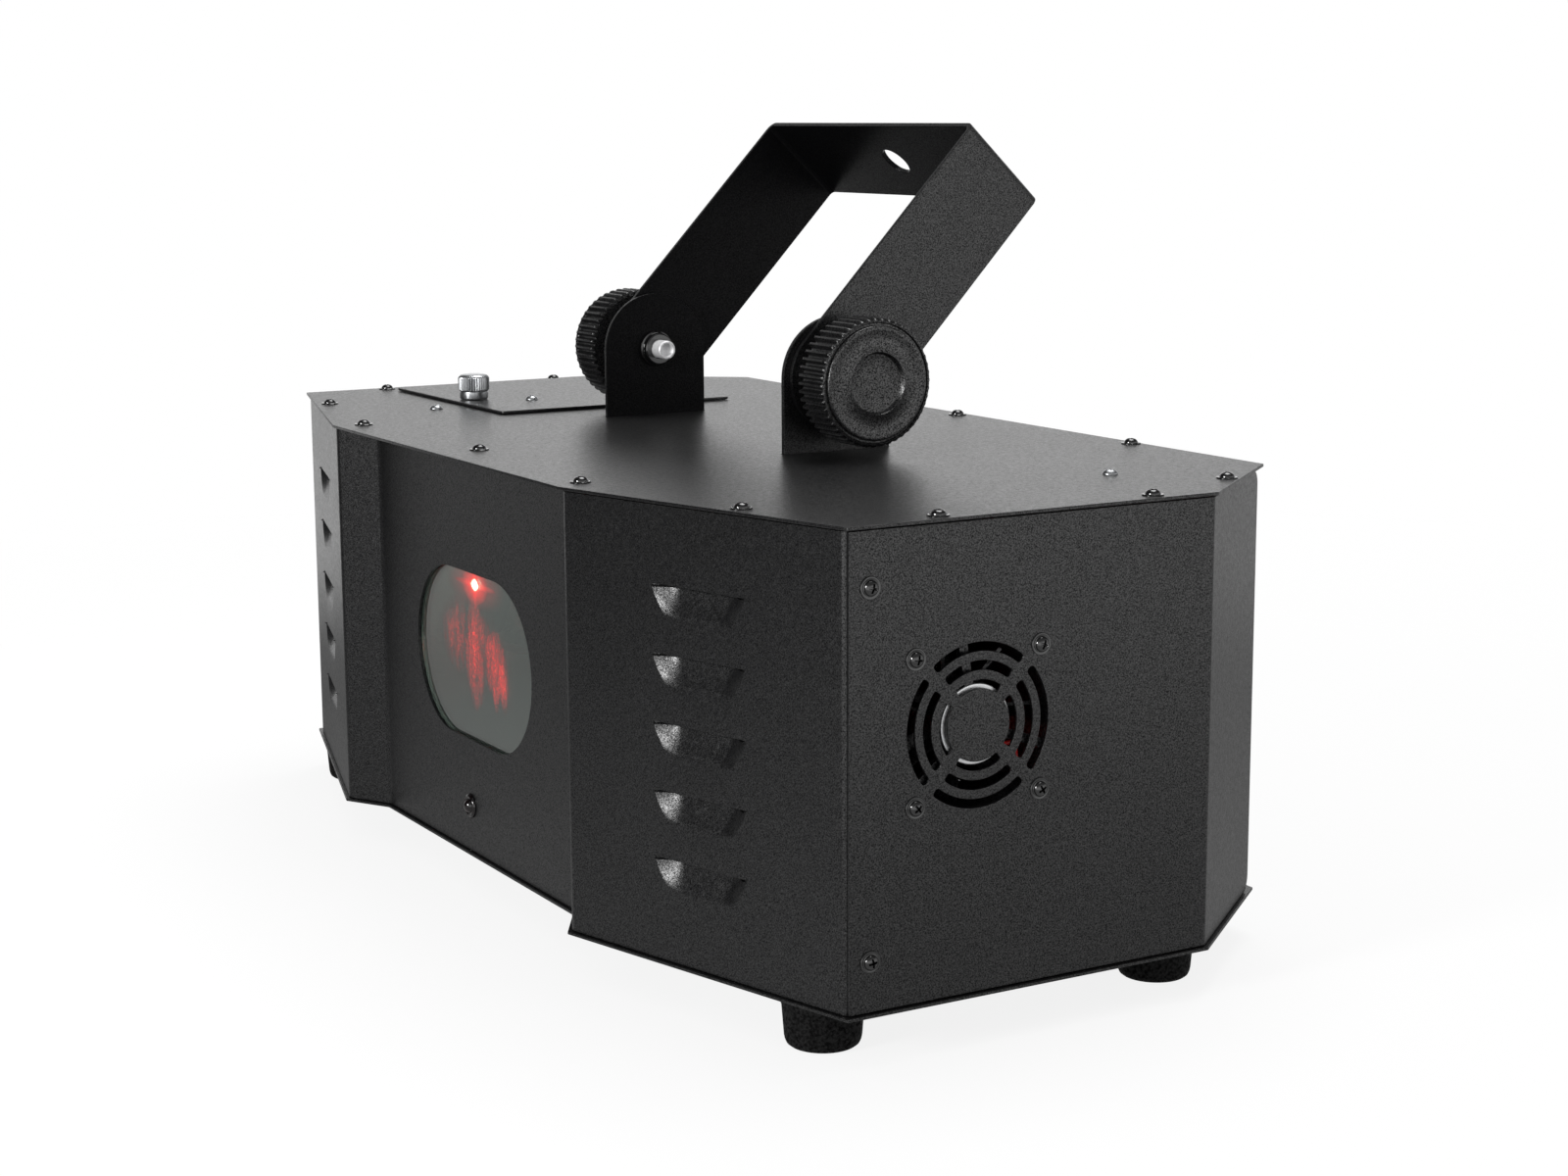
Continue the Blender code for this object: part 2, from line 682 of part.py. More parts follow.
def ring_slot(bm, inner, outer, start, end, depth, centre):
    """Add one curved slot with round ends, to cut the grille with."""
    radius = (inner + outer) / 2
    half = (outer - inner) / 2
    outer_side = arc((0, 0), outer, start, end, 5)
    far_end = arc((radius * cos(end), radius * sin(end)), half, end, end + pi, 3)[1:-1]
    inner_side = arc((0, 0), inner, end, start, 5)
    near_end = arc((radius * cos(start), radius * sin(start)), half, start + pi, start + 2 * pi, 3)[1:-1]
    points = outer_side + far_end + inner_side + near_end
    low = [bm.verts.new((centre[0] - depth / 2, centre[1] + y, centre[2] + z)) for y, z in points]
    face = bm.faces.new(low)
    grown = bmesh.ops.extrude_face_region(bm, geom=[face])["geom"]
    moved = [part for part in grown if isinstance(part, bmesh.types.BMVert)]
    bmesh.ops.translate(bm, verts=moved, vec=(depth, 0, 0))


def grille_cutter():
    """Three rings of four slots, parted by four diagonal spokes, and the four screw holes."""
    bm = bmesh.new()
    centre = (SIDE_X, *FAN_PLACE)
    for inner, outer in GRILLE_RINGS:
        radius = (inner + outer) / 2
        margin = (GRILLE_SPOKE / 2 + (outer - inner) / 2) / radius
        for quarter in range(4):
            start = pi / 4 + quarter * pi / 2
            ring_slot(bm, inner, outer, start + margin, start + pi / 2 - margin, CUT_DEPTH, centre)
    for y, z in fan_screw_places():
        add_rod(bm, SCREW_HOLE_RADIUS, CUT_DEPTH, (SIDE_X, y, z), "X", 12)
    return place("grille_cutter", mesh_from(bm, "grille_cutter"), housing)


def fan_screw_places():
    """The fan's four holes."""
    half = FAN_HOLE_SPACING / 2
    return [(FAN_PLACE[0] + a * half, FAN_PLACE[1] + b * half) for a in (-1, 1) for b in (-1, 1)]


def side_panel(name, side):
    """A side with its rear chamfer, folded from one sheet. The right one has the fan's grille."""
    corners = [(SIDE_X, SIDE_FRONT[1] + GAP), SIDE_BACK, rear_chamfer_end()]
    path = round_corners(corners, BEND_RADIUS, BEND_STEPS)
    if side == LEFT:
        path = [(-x, y) for x, y in path]
    mesh = sheet_mesh(name, path, [WALL_BOTTOM, WALL_TOP], trim_far_end=True)
    if side == LEFT:
        mesh.flip_normals()
    panel = place(name, mesh, housing, "powder_coated_steel")
    solid_sheet(panel)
    if side == RIGHT:
        boolean(panel, grille_cutter())
    cut_side_screws(panel, side)
    return panel


def rear_chamfer_end():
    """Where the chamfer's sheet ends: flush with the rear panel's outer face."""
    back, corner = Vector(SIDE_BACK), Vector(REAR_CORNER)
    share = (REAR_Y - back.y) / (corner.y - back.y)
    return tuple(back.lerp(corner, share))


def rear_panel():
    """The flat rear with a flange behind each chamfer, cut for its sockets and display."""
    back, end = Vector(SIDE_BACK), Vector(rear_chamfer_end())
    along = (end - back).normalized()
    inward = Vector((-along.y, along.x)) * (SHEET + GAP)
    offset_end = end + inward
    corner = offset_end + along * ((REAR_Y - offset_end.y) / along.y)
    flange_end = corner - along * FLANGE
    right = round_corners([(0, REAR_Y), tuple(corner), tuple(flange_end)], BEND_RADIUS, BEND_STEPS)[1:]
    path = list(reversed(right)) + [(-x, y) for x, y in right]
    panel = place("rear_panel", sheet_mesh("rear_panel", path, [WALL_BOTTOM, WALL_TOP]), housing,
                  "powder_coated_steel")
    solid_sheet(panel)
    bm = bmesh.new()
    for (x, z), (width, height) in ((INLET_PLACE, INLET_CUTOUT), (DISPLAY_PLACE, DISPLAY_CUTOUT)):
        add_box(bm, (width, CUT_DEPTH, height), (x, REAR_Y, z))
    for x, z in (SIGNAL_IN_PLACE, SIGNAL_OUT_PLACE):
        add_rod(bm, SIGNAL_CUTOUT_RADIUS, CUT_DEPTH, (x, REAR_Y, z), "Y", 24)
    for x, z in button_places():
        add_rod(bm, BUTTON_RADIUS + BUTTON_CLEARANCE, CUT_DEPTH, (x, REAR_Y, z), "Y", 14)
    boolean(panel, place("rear_cutter", mesh_from(bm, "rear_cutter"), housing))
    return panel


def button_places():
    """Four buttons in a row under the display."""
    x, z = DISPLAY_PLACE
    return [(x + (i - (BUTTONS - 1) / 2) * BUTTON_PITCH, z - BUTTON_DROP) for i in range(BUTTONS)]


def base_plate():
    """The flat base, which follows the recess of the front."""
    return place("base_plate", outline_mesh("base_plate", [base_outline()], SHEET), housing,
                 "powder_coated_steel", (0, 0, SHEET / 2))


def top_cover():
    """The flat cover, with the hatch's opening, its screw hole and a slot for each bracket."""
    x0, x1 = HATCH_OPENING_X
    y0, y1 = HATCH_OPENING_Y
    opening = round_corners([(x0, y0), (x1, y0), (x1, y1), (x0, y1)], HATCH_OPENING_CORNER, 3, True)
    cover = place("top_cover", outline_mesh("top_cover", [cover_outline(), opening], SHEET), housing,
                  "powder_coated_steel", (0, 0, BODY_HEIGHT - SHEET / 2))
    x, y = THUMBSCREW_PLACE
    bm = bmesh.new()
    add_rod(bm, THUMBSCREW_SHANK / 2 + THUMBSCREW_CLEARANCE, CUT_DEPTH, (x, y, BODY_HEIGHT), "Z", 16)
    middle = YOKE_OUTER - YOKE_SHEET - GAP - BRACKET_SHEET / 2
    slot = (BRACKET_SHEET + 2 * GAP, BRACKET_WIDTH + 2 * GAP, CUT_DEPTH)
    for side in (LEFT, RIGHT):
        add_box(bm, slot, (side * middle, AXIS_Y, BODY_HEIGHT))
    boolean(cover, place("cover_cutter", mesh_from(bm, "cover_cutter"), housing))
    return cover


def bent_strip(name, path, width, rounded_end, thickness, parent):
    """A strip folded along a path in X and Z, Y wide, with its named ends rounded in full."""
    bm = bmesh.new()
    row = [bm.verts.new((x, -width / 2, z)) for x, z in path]
    edges = [bm.edges.new(pair) for pair in zip(row, row[1:])]
    grown = bmesh.ops.extrude_edge_only(bm, edges=edges)["geom"]
    moved = [part for part in grown if isinstance(part, bmesh.types.BMVert)]
    bmesh.ops.translate(bm, verts=moved, vec=(0, width, 0))
    tips = [v for v in bm.verts if rounded_end(v.co)]
    bmesh.ops.bevel(bm, geom=tips, offset=width / 2 - 2 * FINE, segments=9, profile=0.5, affect="VERTICES")
    mesh = bpy.data.meshes.new(name)
    bm.to_mesh(mesh)
    bm.free()
    mesh.shade_smooth()
    mesh.set_sharp_from_angle(angle=SMOOTH_ANGLE)
    strip = place(name, mesh, parent, "powder_coated_steel")
    solid_sheet(strip, thickness)
    return strip


def bracket(name, side):
    """An upright tab with a round head, whose foot is folded inward under the cover."""
    outer = YOKE_OUTER - YOKE_SHEET - GAP
    foot_z = BODY_HEIGHT - SHEET - GAP - BRACKET_SHEET
    corners = [(outer - BRACKET_FOOT, foot_z), (outer, foot_z), (outer, AXIS_HEIGHT + BRACKET_WIDTH / 2)]
    path = [(side * x, z) for x, z in round_corners(corners, BRACKET_BEND, 3)]
    tab = bent_strip(name, path if side == RIGHT else path[::-1], BRACKET_WIDTH, lambda co: co.z > AXIS_HEIGHT,
                     BRACKET_SHEET, housing)
    tab.location.y = AXIS_Y
    centre = (side * outer, AXIS_Y, AXIS_HEIGHT)
    boolean(tab, rod(name + "_bore", STUD_HOLE / 2, CUT_DEPTH, centre, "X", housing, None, 24))
    return tab


def clamp_nut(name, side):
    """A round flanged nut behind the bracket, which the knob's stud screws through."""
    face = YOKE_OUTER - YOKE_SHEET - 2 * GAP - BRACKET_SHEET
    radius = NUT_DIAMETER / 2
    body = radius - NUT_FLANGE
    bore = STUD_DIAMETER / 2 + GAP
    profile = [(bore, NUT_THICKNESS), (body - 0.0006, NUT_THICKNESS), (body, NUT_THICKNESS - 0.0006),
               (body, NUT_FLANGE + 0.0004), (radius, NUT_FLANGE), (radius, 0), (bore, 0),
                (bore, NUT_THICKNESS)]
    return turned(name, profile, (side * face, AXIS_Y, AXIS_HEIGHT), "X", housing, "blackened_steel", 16,
                  flip=side == RIGHT)


yoke_axis = pivot("yoke_axis", (0, AXIS_Y, AXIS_HEIGHT), housing, -TILT)


def yoke():
    """A strip folded to a U, with round ends at the tilt axis and a bolt hole in its middle."""
    path = round_corners(
        [(YOKE_OUTER, -YOKE_WIDTH / 2), (YOKE_OUTER, YOKE_REACH), (-YOKE_OUTER, YOKE_REACH),
         (-YOKE_OUTER, -YOKE_WIDTH / 2)], YOKE_BEND, 5)
    strip = bent_strip("yoke", path, YOKE_WIDTH, lambda co: co.z < 0, YOKE_SHEET, yoke_axis)
    bores = bmesh.new()
    for side in (LEFT, RIGHT):
        add_rod(bores, STUD_HOLE / 2, CUT_DEPTH, (side * YOKE_OUTER, 0, 0), "X", 24)
    add_rod(bores, YOKE_HOLE / 2, CUT_DEPTH, (0, 0, YOKE_REACH), "Z", 28)
    boolean(strip, place("yoke_bores", mesh_from(bores, "yoke_bores"), yoke_axis))
    return strip


def rib_outline():
    """The knob's grip: raised ribs with a wider groove between them."""
    points = []
    step = 2 * pi / KNOB_RIBS
    floor = KNOB_RADIUS - KNOB_GROOVE_DEPTH
    start, end = KNOB_GROOVE_FLOOR
    for rib in range(KNOB_RIBS):
        for share, radius in ((0, KNOB_RADIUS), (KNOB_RIB_SHARE, KNOB_RADIUS), (start, floor), (end, floor)):
            angle = (rib + share) * step
            points.append((radius * cos(angle), radius * sin(angle)))
    return points


def clamp_knob(name, side, axis):
    """A moulded knob: ribbed grip, rim, dished face with a sunk middle, and a neck against the yoke."""
    hollow = arc((0, 0), KNOB_HOLLOW_RADIUS, 0, 2 * pi, 16)[:-1]
    grip_mesh = outline_mesh(name, [rib_outline(), hollow], KNOB_RIB_LENGTH)
    middle = (side * (KNOB_BACK + KNOB_RIB_LENGTH / 2), 0, 0)
    grip = place(name, grip_mesh, axis, "black_abs", middle, (0, pi / 2, 0))
    face = KNOB_FACE - YOKE_OUTER
    back = KNOB_BACK - YOKE_OUTER
    bore = STUD_DIAMETER / 2 + GAP
    dish = [(0, face - 0.0018), (0.0106, face - 0.0018), (0.0118, face), (0.0165, face - 0.0010),
            (0.0216, face - 0.0002)]
    rim = [(0.0236, face - 0.0014), (0.0236, face - 0.0038), (0.0187, face - 0.0070), (0.0187, back + 0.002)]
    neck = [(0.0135, back + 0.0008), (0.0115, GAP), (bore, GAP)]
    profile = dish + rim + neck + [(bore, face - KNOB_BORE_DEPTH), (0, face - KNOB_BORE_DEPTH)]
    core = turned(name + "_core", profile, (side * YOKE_OUTER, 0, 0), "X", axis, None, 20, flip=side == LEFT)
    boolean(grip, core, "UNION")
    return grip


def stud(name, side, axis):
    """The knob's threaded stud, with a chamfered end and a small socket in it."""
    radius = STUD_DIAMETER / 2
    length = KNOB_FACE - STUD_DEPTH_IN_KNOB - STUD_INNER_END
    profile = [(0, length), (radius, length), (radius, STUD_CHAMFER),
               (radius - STUD_CHAMFER, 0), (SOCKET_RADIUS, 0),
               (SOCKET_RADIUS - GAP, SOCKET_DEPTH), (0, SOCKET_DEPTH)]
    centre = (side * STUD_INNER_END, 0, 0)
    return turned(name, profile, centre, "X", axis, "zinc_plated_steel", 14, flip=side == LEFT)


def foot(name, x, y):
    """A rubber foot that tapers to a rounded lower edge."""
    top = -GAP
    low = -FOOT_HEIGHT
    profile = [(0, top), (FOOT_TOP_RADIUS, top), (FOOT_TOP_RADIUS, top - 0.0020),
               (FOOT_BOTTOM_RADIUS + 0.0004, low + 0.0030), (FOOT_BOTTOM_RADIUS - 0.0006, low + 0.0010),
               (FOOT_BOTTOM_RADIUS - 0.0020, low), (0, low)]
    return turned(name, profile, (x, y, 0), "Z", housing, "rubber", 20)


hatch_seat = pivot("hatch_seat", (sum(HATCH_X) / 2, sum(HATCH_Y) / 2, BODY_HEIGHT + GAP), housing)
thumbscrew_axis = pivot("thumbscrew_axis", (THUMBSCREW_PLACE[0] - sum(HATCH_X) / 2,
                                            THUMBSCREW_PLACE[1] - sum(HATCH_Y) / 2, SHEET), hatch_seat)


def hatch_cover():
    """The plate over the cover's opening, with a bore for its thumbscrew."""
    half_x = (HATCH_X[1] - HATCH_X[0]) / 2
    half_y = (HATCH_Y[1] - HATCH_Y[0]) / 2
    plate = [(-half_x, -half_y), (half_x, -half_y), (half_x, half_y), (-half_x, half_y)]
    outline = round_corners(plate, HATCH_CORNER, 3, True)
    hatch = place("hatch_cover", outline_mesh("hatch_cover", [outline], SHEET), hatch_seat,
                  "powder_coated_steel", (0, 0, SHEET / 2))
    lip = bmesh.new()
    lip_x = (HATCH_OPENING_X[1] - HATCH_OPENING_X[0]) - LIP_MARGIN[0]
    lip_y = (HATCH_OPENING_Y[1] - HATCH_OPENING_Y[0]) - LIP_MARGIN[1]
    middle_x = sum(HATCH_OPENING_X) / 2 - sum(HATCH_X) / 2
    middle_y = sum(HATCH_OPENING_Y) / 2 - sum(HATCH_Y) / 2
    for along in (-1, 1):
        centre = (middle_x, middle_y + along * lip_y / 2, SHEET / 2 - LIP_HEIGHT / 2)
        add_box(lip, (lip_x, SHEET, LIP_HEIGHT), centre)
    boolean(hatch, place("hatch_lip", mesh_from(lip, "hatch_lip"), hatch_seat), "UNION")
    bore = rod("hatch_bore", THUMBSCREW_SHANK / 2 + GAP, CUT_DEPTH, (0, 0, 0), "Z", thumbscrew_axis, None, 20)
    boolean(hatch, bore)
    return hatch


def thumbscrew():
    """A knurled head over a smooth collar, on a short shank."""
    knurl = []
    for notch in range(2 * KNURLS):
        angle = notch * pi / KNURLS
        radius = KNURL_RADIUS - (KNURL_DEPTH if notch % 2 else 0)
        knurl.append((radius * cos(angle), radius * sin(angle)))
    head = place("thumbscrew", outline_mesh("thumbscrew", [knurl], KNURL_LENGTH), thumbscrew_axis,
                 "zinc_plated_steel", (0, 0, KNURL_MIDDLE))
    shank = THUMBSCREW_SHANK / 2
    top, end = THUMBSCREW_TOP, -THUMBSCREW_LENGTH
    profile = [(0, top), (COLLAR_RADIUS - 0.0012, top), (COLLAR_RADIUS, top - 0.0009), (COLLAR_RADIUS, 0.0008),
               (COLLAR_RADIUS - 0.0004, GAP), (shank, GAP), (shank, end + 0.0008),
               (shank - 0.0007, end), (0, end)]
    core = turned("thumbscrew_core", profile, (0, 0, 0), "Z", thumbscrew_axis, None, 16)
    boolean(head, core, "UNION")
    return head


def pan_screw(name, place_at, flip=False):
    """A flanged pan-head screw with its shank, in one of the sides."""
    radius, length = PAN_SHANK
    profile = list(PAN_HEAD) + [(radius, GAP), (radius, -length), (0, -length)]
    return turned(name, profile, place_at, "X", housing, "blackened_steel", 10, flip)


FAN_FACE_X = SIDE_X - SHEET - GAP
fan_axis = pivot("fan_axis", (FAN_FACE_X - FAN_DEPTH / 2, *FAN_PLACE), housing)


def fan_frame():
    """The square frame with its round duct, three struts and the round motor plate."""
    centre_x = FAN_FACE_X - FAN_DEPTH / 2
    frame = box("fan_frame", (FAN_DEPTH, FAN_SIZE, FAN_SIZE), (centre_x, *FAN_PLACE), housing, "fan_plastic")
    edge = bevel(frame, FAN_CORNER, 3)
    edge.limit_method = "WEIGHT"
    mark_edges_along_x(frame.data)
    bm = bmesh.new()
    add_rod(bm, FAN_BORE / 2, FAN_DEPTH + 0.002, (0, 0, 0), "X", 36)
    for y, z in fan_screw_places():
        add_rod(bm, SCREW_HOLE_RADIUS, FAN_DEPTH + 0.002, (0, y - FAN_PLACE[0], z - FAN_PLACE[1]), "X", 10)
    boolean(frame, place("fan_bore", mesh_from(bm, "fan_bore"), fan_axis))
    plate_x = FAN_DEPTH / 2 - FAN_PLATE_INSET
    for strut in range(FAN_STRUTS):
        turn = Matrix.Rotation(FAN_STRUT_START + strut * 2 * pi / FAN_STRUTS, 4, "X")
        middle = Vector((0, FAN_STRUT_MIDDLE, 0))
        middle.rotate(turn.to_3x3())
        bm = bmesh.new()
        add_box(bm, FAN_STRUT_SIZE, (plate_x, middle.y, middle.z), turn)
        boolean(frame, place("fan_strut", mesh_from(bm, "fan_strut"), fan_axis), "UNION")
    plate = rod("fan_motor_plate", FAN_PLATE_RADIUS, FAN_STRUT_SIZE[0], (plate_x, 0, 0), "X",
                fan_axis, None, 24)
    boolean(frame, plate, "UNION")
    return frame


def mark_edges_along_x(mesh):
    """Give the four edges along X the weight that rounds them."""
    weights = mesh.attributes.new("bevel_weight_edge", "FLOAT", "EDGE")
    for edge in mesh.edges:
        a, b = (mesh.vertices[i].co for i in edge.vertices)
        weights.data[edge.index].value = 1.0 if abs(a.x - b.x) > FAN_DEPTH / 2 else 0.0


def fan_rotor():
    """The rotor's cup with its pitched blades."""
    half = ROTOR_DEPTH / 2
    chamfer = ROTOR_CHAMFER
    cup = [(0, half), (ROTOR_RADIUS - chamfer, half), (ROTOR_RADIUS, half - chamfer),
           (ROTOR_RADIUS, chamfer - half), (ROTOR_RADIUS - chamfer, -half), (0, -half)]
    rotor = turned("fan_rotor", cup, (ROTOR_SHIFT, 0, 0), "X", fan_axis, "fan_plastic", 20)
    for blade in range(BLADES):
        bm = blade_sheet()
        turn = Matrix.Rotation(blade * 2 * pi / BLADES, 3, "X")
        bmesh.ops.rotate(bm, verts=bm.verts, cent=(0, 0, 0), matrix=turn)
        tool = place("fan_blade", mesh_from(bm, "fan_blade"), fan_axis, None, (ROTOR_SHIFT, 0, 0))
        wall = tool.modifiers.new("Wall", "SOLIDIFY")
        wall.thickness = BLADE_WALL
        wall.offset = 0
        boolean(rotor, tool, "UNION")
    return rotor


def blade_sheet():
    """One blade's middle sheet, twisted and widened from the cup to its tip."""
    bm = bmesh.new()
    rows = []
    for step in range(BLADE_STATIONS):
        share = step / (BLADE_STATIONS - 1)
        radius, pitch, chord = (a + (b - a) * share for a, b in (BLADE_RADII, BLADE_PITCH, BLADE_CHORD))
        row = []
        for end in (-0.5, 0, 0.5):
            camber = BLADE_CAMBER * (1 - 4 * end * end)
            x = chord * end * cos(pitch) - camber * sin(pitch)
            z = chord * end * sin(pitch) + camber * cos(pitch)
            row.append(bm.verts.new((x, radius, z)))
        rows.append(row)
    for low, high in zip(rows, rows[1:]):
        for i in range(2):
            bm.faces.new((low[i], low[i + 1], high[i + 1], high[i]))
    return bm


def glass_outline():
    """The glass's rectangle with its rounded corners."""
    x, y = (size / 2 for size in GLASS_SIZE)
    return round_corners([(-x, -y), (x, -y), (x, y), (-x, y)], GLASS_CORNER, 3, True)


def lens_gasket():
    """The black spacer between the window panel and the glass."""
    outlines = [glass_outline(), window_outline(GASKET_MARGIN)]
    y = PANEL_Y + SHEET + GASKET_THICKNESS / 2
    return place("lens_gasket", outline_mesh("lens_gasket", outlines, GASKET_THICKNESS - 2 * GAP), housing,
                 "rubber", (0, y, WINDOW_HEIGHT), (pi / 2, 0, 0))


def lens_glass():
    """The tinted glass behind the window."""
    y = PANEL_Y + SHEET + GASKET_THICKNESS + GLASS_THICKNESS / 2
    return place("lens_glass", outline_mesh("lens_glass", [glass_outline()], GLASS_THICKNESS), housing,
                 "tinted_glass", (0, y, WINDOW_HEIGHT), (pi / 2, 0, 0))


def infrared_receiver():
    """A glossy dome in a round bezel, pushed through the window panel from the front."""
    x, z = RECEIVER_PLACE
    centre = (x, PANEL_Y, z)
    return turned("infrared_receiver", RECEIVER_PROFILE, centre, "Y", housing, "receiver_plastic", 20,
                  flip=True)


def optics_tray():
    """The folded tray that carries the light engine: a floor, its lip and three uprights."""
    floor_z = SHEET + GAP + TRAY_SHEET / 2
    length = TRAY_X[1] - TRAY_X[0]
    middle_x = sum(TRAY_X) / 2
    tray = box("optics_tray", (length, 2 * TRAY_HALF, TRAY_SHEET), (middle_x, MIRROR_Y, floor_z), housing,
               "aluminium")
    tools = bmesh.new()
    for x in (LAMP_UPRIGHT_X, WHEEL_UPRIGHT_X, BARREL_UPRIGHT_X):
        add_box(tools, (TRAY_SHEET, 2 * TRAY_HALF, TRAY_TOP - floor_z),
                (x, MIRROR_Y, (TRAY_TOP + floor_z) / 2))
    uprights = place("tray_uprights", mesh_from(tools, "tray_uprights"), housing)
    boolean(tray, uprights, "UNION")
    cuts = bmesh.new()
    for radius, x, height, segments in (
            (LAMP_HOLE_RADIUS, LAMP_UPRIGHT_X, OPTIC_HEIGHT, 20),
            (CONDENSER_RADIUS + 0.0005, WHEEL_UPRIGHT_X, OPTIC_HEIGHT, 20),
            (SHAFT_HOLE_RADIUS, WHEEL_UPRIGHT_X, OPTIC_HEIGHT - WHEEL_DROP, 14),
            (BARREL_HOLE_RADIUS, BARREL_UPRIGHT_X, OPTIC_HEIGHT, 28)):
        add_rod(cuts, radius, CUT_DEPTH, (x, MIRROR_Y, height), "X", segments)
    boolean(tray, place("tray_cuts", mesh_from(cuts, "tray_cuts"), housing))
    return tray


def led_heat_sink():
    """A finned block behind the lamp."""
    x = LAMP_UPRIGHT_X - TRAY_SHEET / 2 - GAP - HEAT_SINK_SIZE[0] / 2
    sink = box("led_heat_sink", HEAT_SINK_SIZE, (x, MIRROR_Y, OPTIC_HEIGHT), housing, "aluminium")
    bm = bmesh.new()
    back = x - (HEAT_SINK_SIZE[0] - FIN_GAP[0]) / 2 - 0.0040
    for fin in range(FIN_GAPS):
        add_box(bm, FIN_GAP, (back, MIRROR_Y + (fin - (FIN_GAPS - 1) / 2) * FIN_PITCH, OPTIC_HEIGHT))
    boolean(sink, place("heat_sink_slots", mesh_from(bm, "heat_sink_slots"), housing))
    return sink


def led_module():
    """The lamp: a round board with four emitters under one dome each."""
    x = LAMP_UPRIGHT_X - TRAY_SHEET / 2
    radius, thickness = LAMP_BOARD
    centre = (x + thickness / 2, MIRROR_Y, OPTIC_HEIGHT)
    board = rod("led_module", radius, thickness, centre, "X", housing, "circuit_board", 24)
    for y, z in ((-1, -1), (-1, 1), (1, -1), (1, 1)):
        seat = (x + thickness, MIRROR_Y + y * LAMP_DOME_PLACE, OPTIC_HEIGHT + z * LAMP_DOME_PLACE)
        boolean(board, turned("led_dome", LAMP_DOME, seat, "X", housing, None, 8), "UNION")
    return board


def lens_profile(radius, edge, crown):
    """A flat-backed lens: crown height over its edge thickness."""
    sphere = (radius ** 2 + crown ** 2) / (2 * crown)
    top = []
    for step in range(5):
        r = radius * step / 4
        top.append((r, edge + crown - sphere + (sphere ** 2 - r ** 2) ** 0.5))
    return top + [(radius, 0), (0, 0)]


def condenser_lens():
    """The lens that gathers the lamp's light, in the middle upright."""
    return turned("condenser_lens", lens_profile(CONDENSER_RADIUS, *CONDENSER_LENS),
                  (WHEEL_UPRIGHT_X - 0.0020, MIRROR_Y, OPTIC_HEIGHT), "X", housing, "clear_glass", 24)


wheel_axis = pivot("gobo_wheel_axis", (WHEEL_X, MIRROR_Y, OPTIC_HEIGHT - WHEEL_DROP), housing)


def gobo_wheel():
    """A disc on the motor's shaft, with one open place and six groups of petal-shaped openings."""
    outline = arc((0, 0), WHEEL_RADIUS, 0, 2 * pi, 35)[:-1]
    openings = [arc((WHEEL_DROP, 0), WHEEL_OPENING_RADIUS, 0, 2 * pi, 18)[:-1]]
    for number in range(1, WHEEL_PLACES):
        angle = number * 2 * pi / WHEEL_PLACES
        centre = Vector((WHEEL_DROP * cos(angle), WHEEL_DROP * sin(angle)))
        petals = 3 + number % 3
        for petal in range(petals):
            openings.append(petal_outline(centre, angle + petal * 2 * pi / petals))
    turn = Matrix.Rotation(pi / 2, 4, "Y")
    wheel = place("gobo_wheel", outline_mesh("gobo_wheel", [outline] + openings, WHEEL_SHEET), wheel_axis,
                  "blackened_steel", (0, 0, 0), turn.to_euler())
    boolean(wheel, turned("wheel_hub", WHEEL_HUB, (0, 0, 0), "X", wheel_axis, None, 16), "UNION")
    return wheel


def petal_outline(centre, angle):
    """One petal: a lozenge with rounded sides, pointing away from its group's centre."""
    out = Vector((cos(angle), sin(angle)))
    across = Vector((-out.y, out.x))
    return [tuple(centre + out * along + across * aside) for along, aside in PETAL]


def gobo_motor():
    """The stepper motor on the middle upright, with a bore for its shaft."""
    front = WHEEL_UPRIGHT_X - TRAY_SHEET / 2 - GAP
    height = OPTIC_HEIGHT - WHEEL_DROP
    motor = box("gobo_motor", (MOTOR_DEPTH, MOTOR_SIDE, MOTOR_SIDE),
                (front - MOTOR_DEPTH / 2, MIRROR_Y, height),
                housing, "blackened_steel", MOTOR_EDGE)
    bore = rod("motor_bore", MOTOR_BORE_RADIUS, MOTOR_DEPTH, (front, MIRROR_Y, height), "X", housing, None, 20)
    boolean(motor, bore)
    return motor


def projection_barrel():
    """The lens barrel in the last upright."""
    half = BARREL_HALF
    profile = [(BARREL_BORE, half), (BARREL_RADIUS - GAP, half), (BARREL_RADIUS, half - 0.0005),
               (BARREL_RADIUS, -half), (BARREL_BORE, -half), (BARREL_BORE, half)]
    centre = (BARREL_UPRIGHT_X, MIRROR_Y, OPTIC_HEIGHT)
    return turned("projection_barrel", profile, centre, "X", housing, "black_abs", 28)


def projection_lens():
    """The lens in the barrel's front end."""
    centre = (BARREL_UPRIGHT_X + PROJECTION_LENS_SHIFT, MIRROR_Y, OPTIC_HEIGHT)
    profile = lens_profile(PROJECTION_RADIUS, *PROJECTION_LENS)
    return turned("projection_lens", profile, centre, "X", housing, "clear_glass", 24)


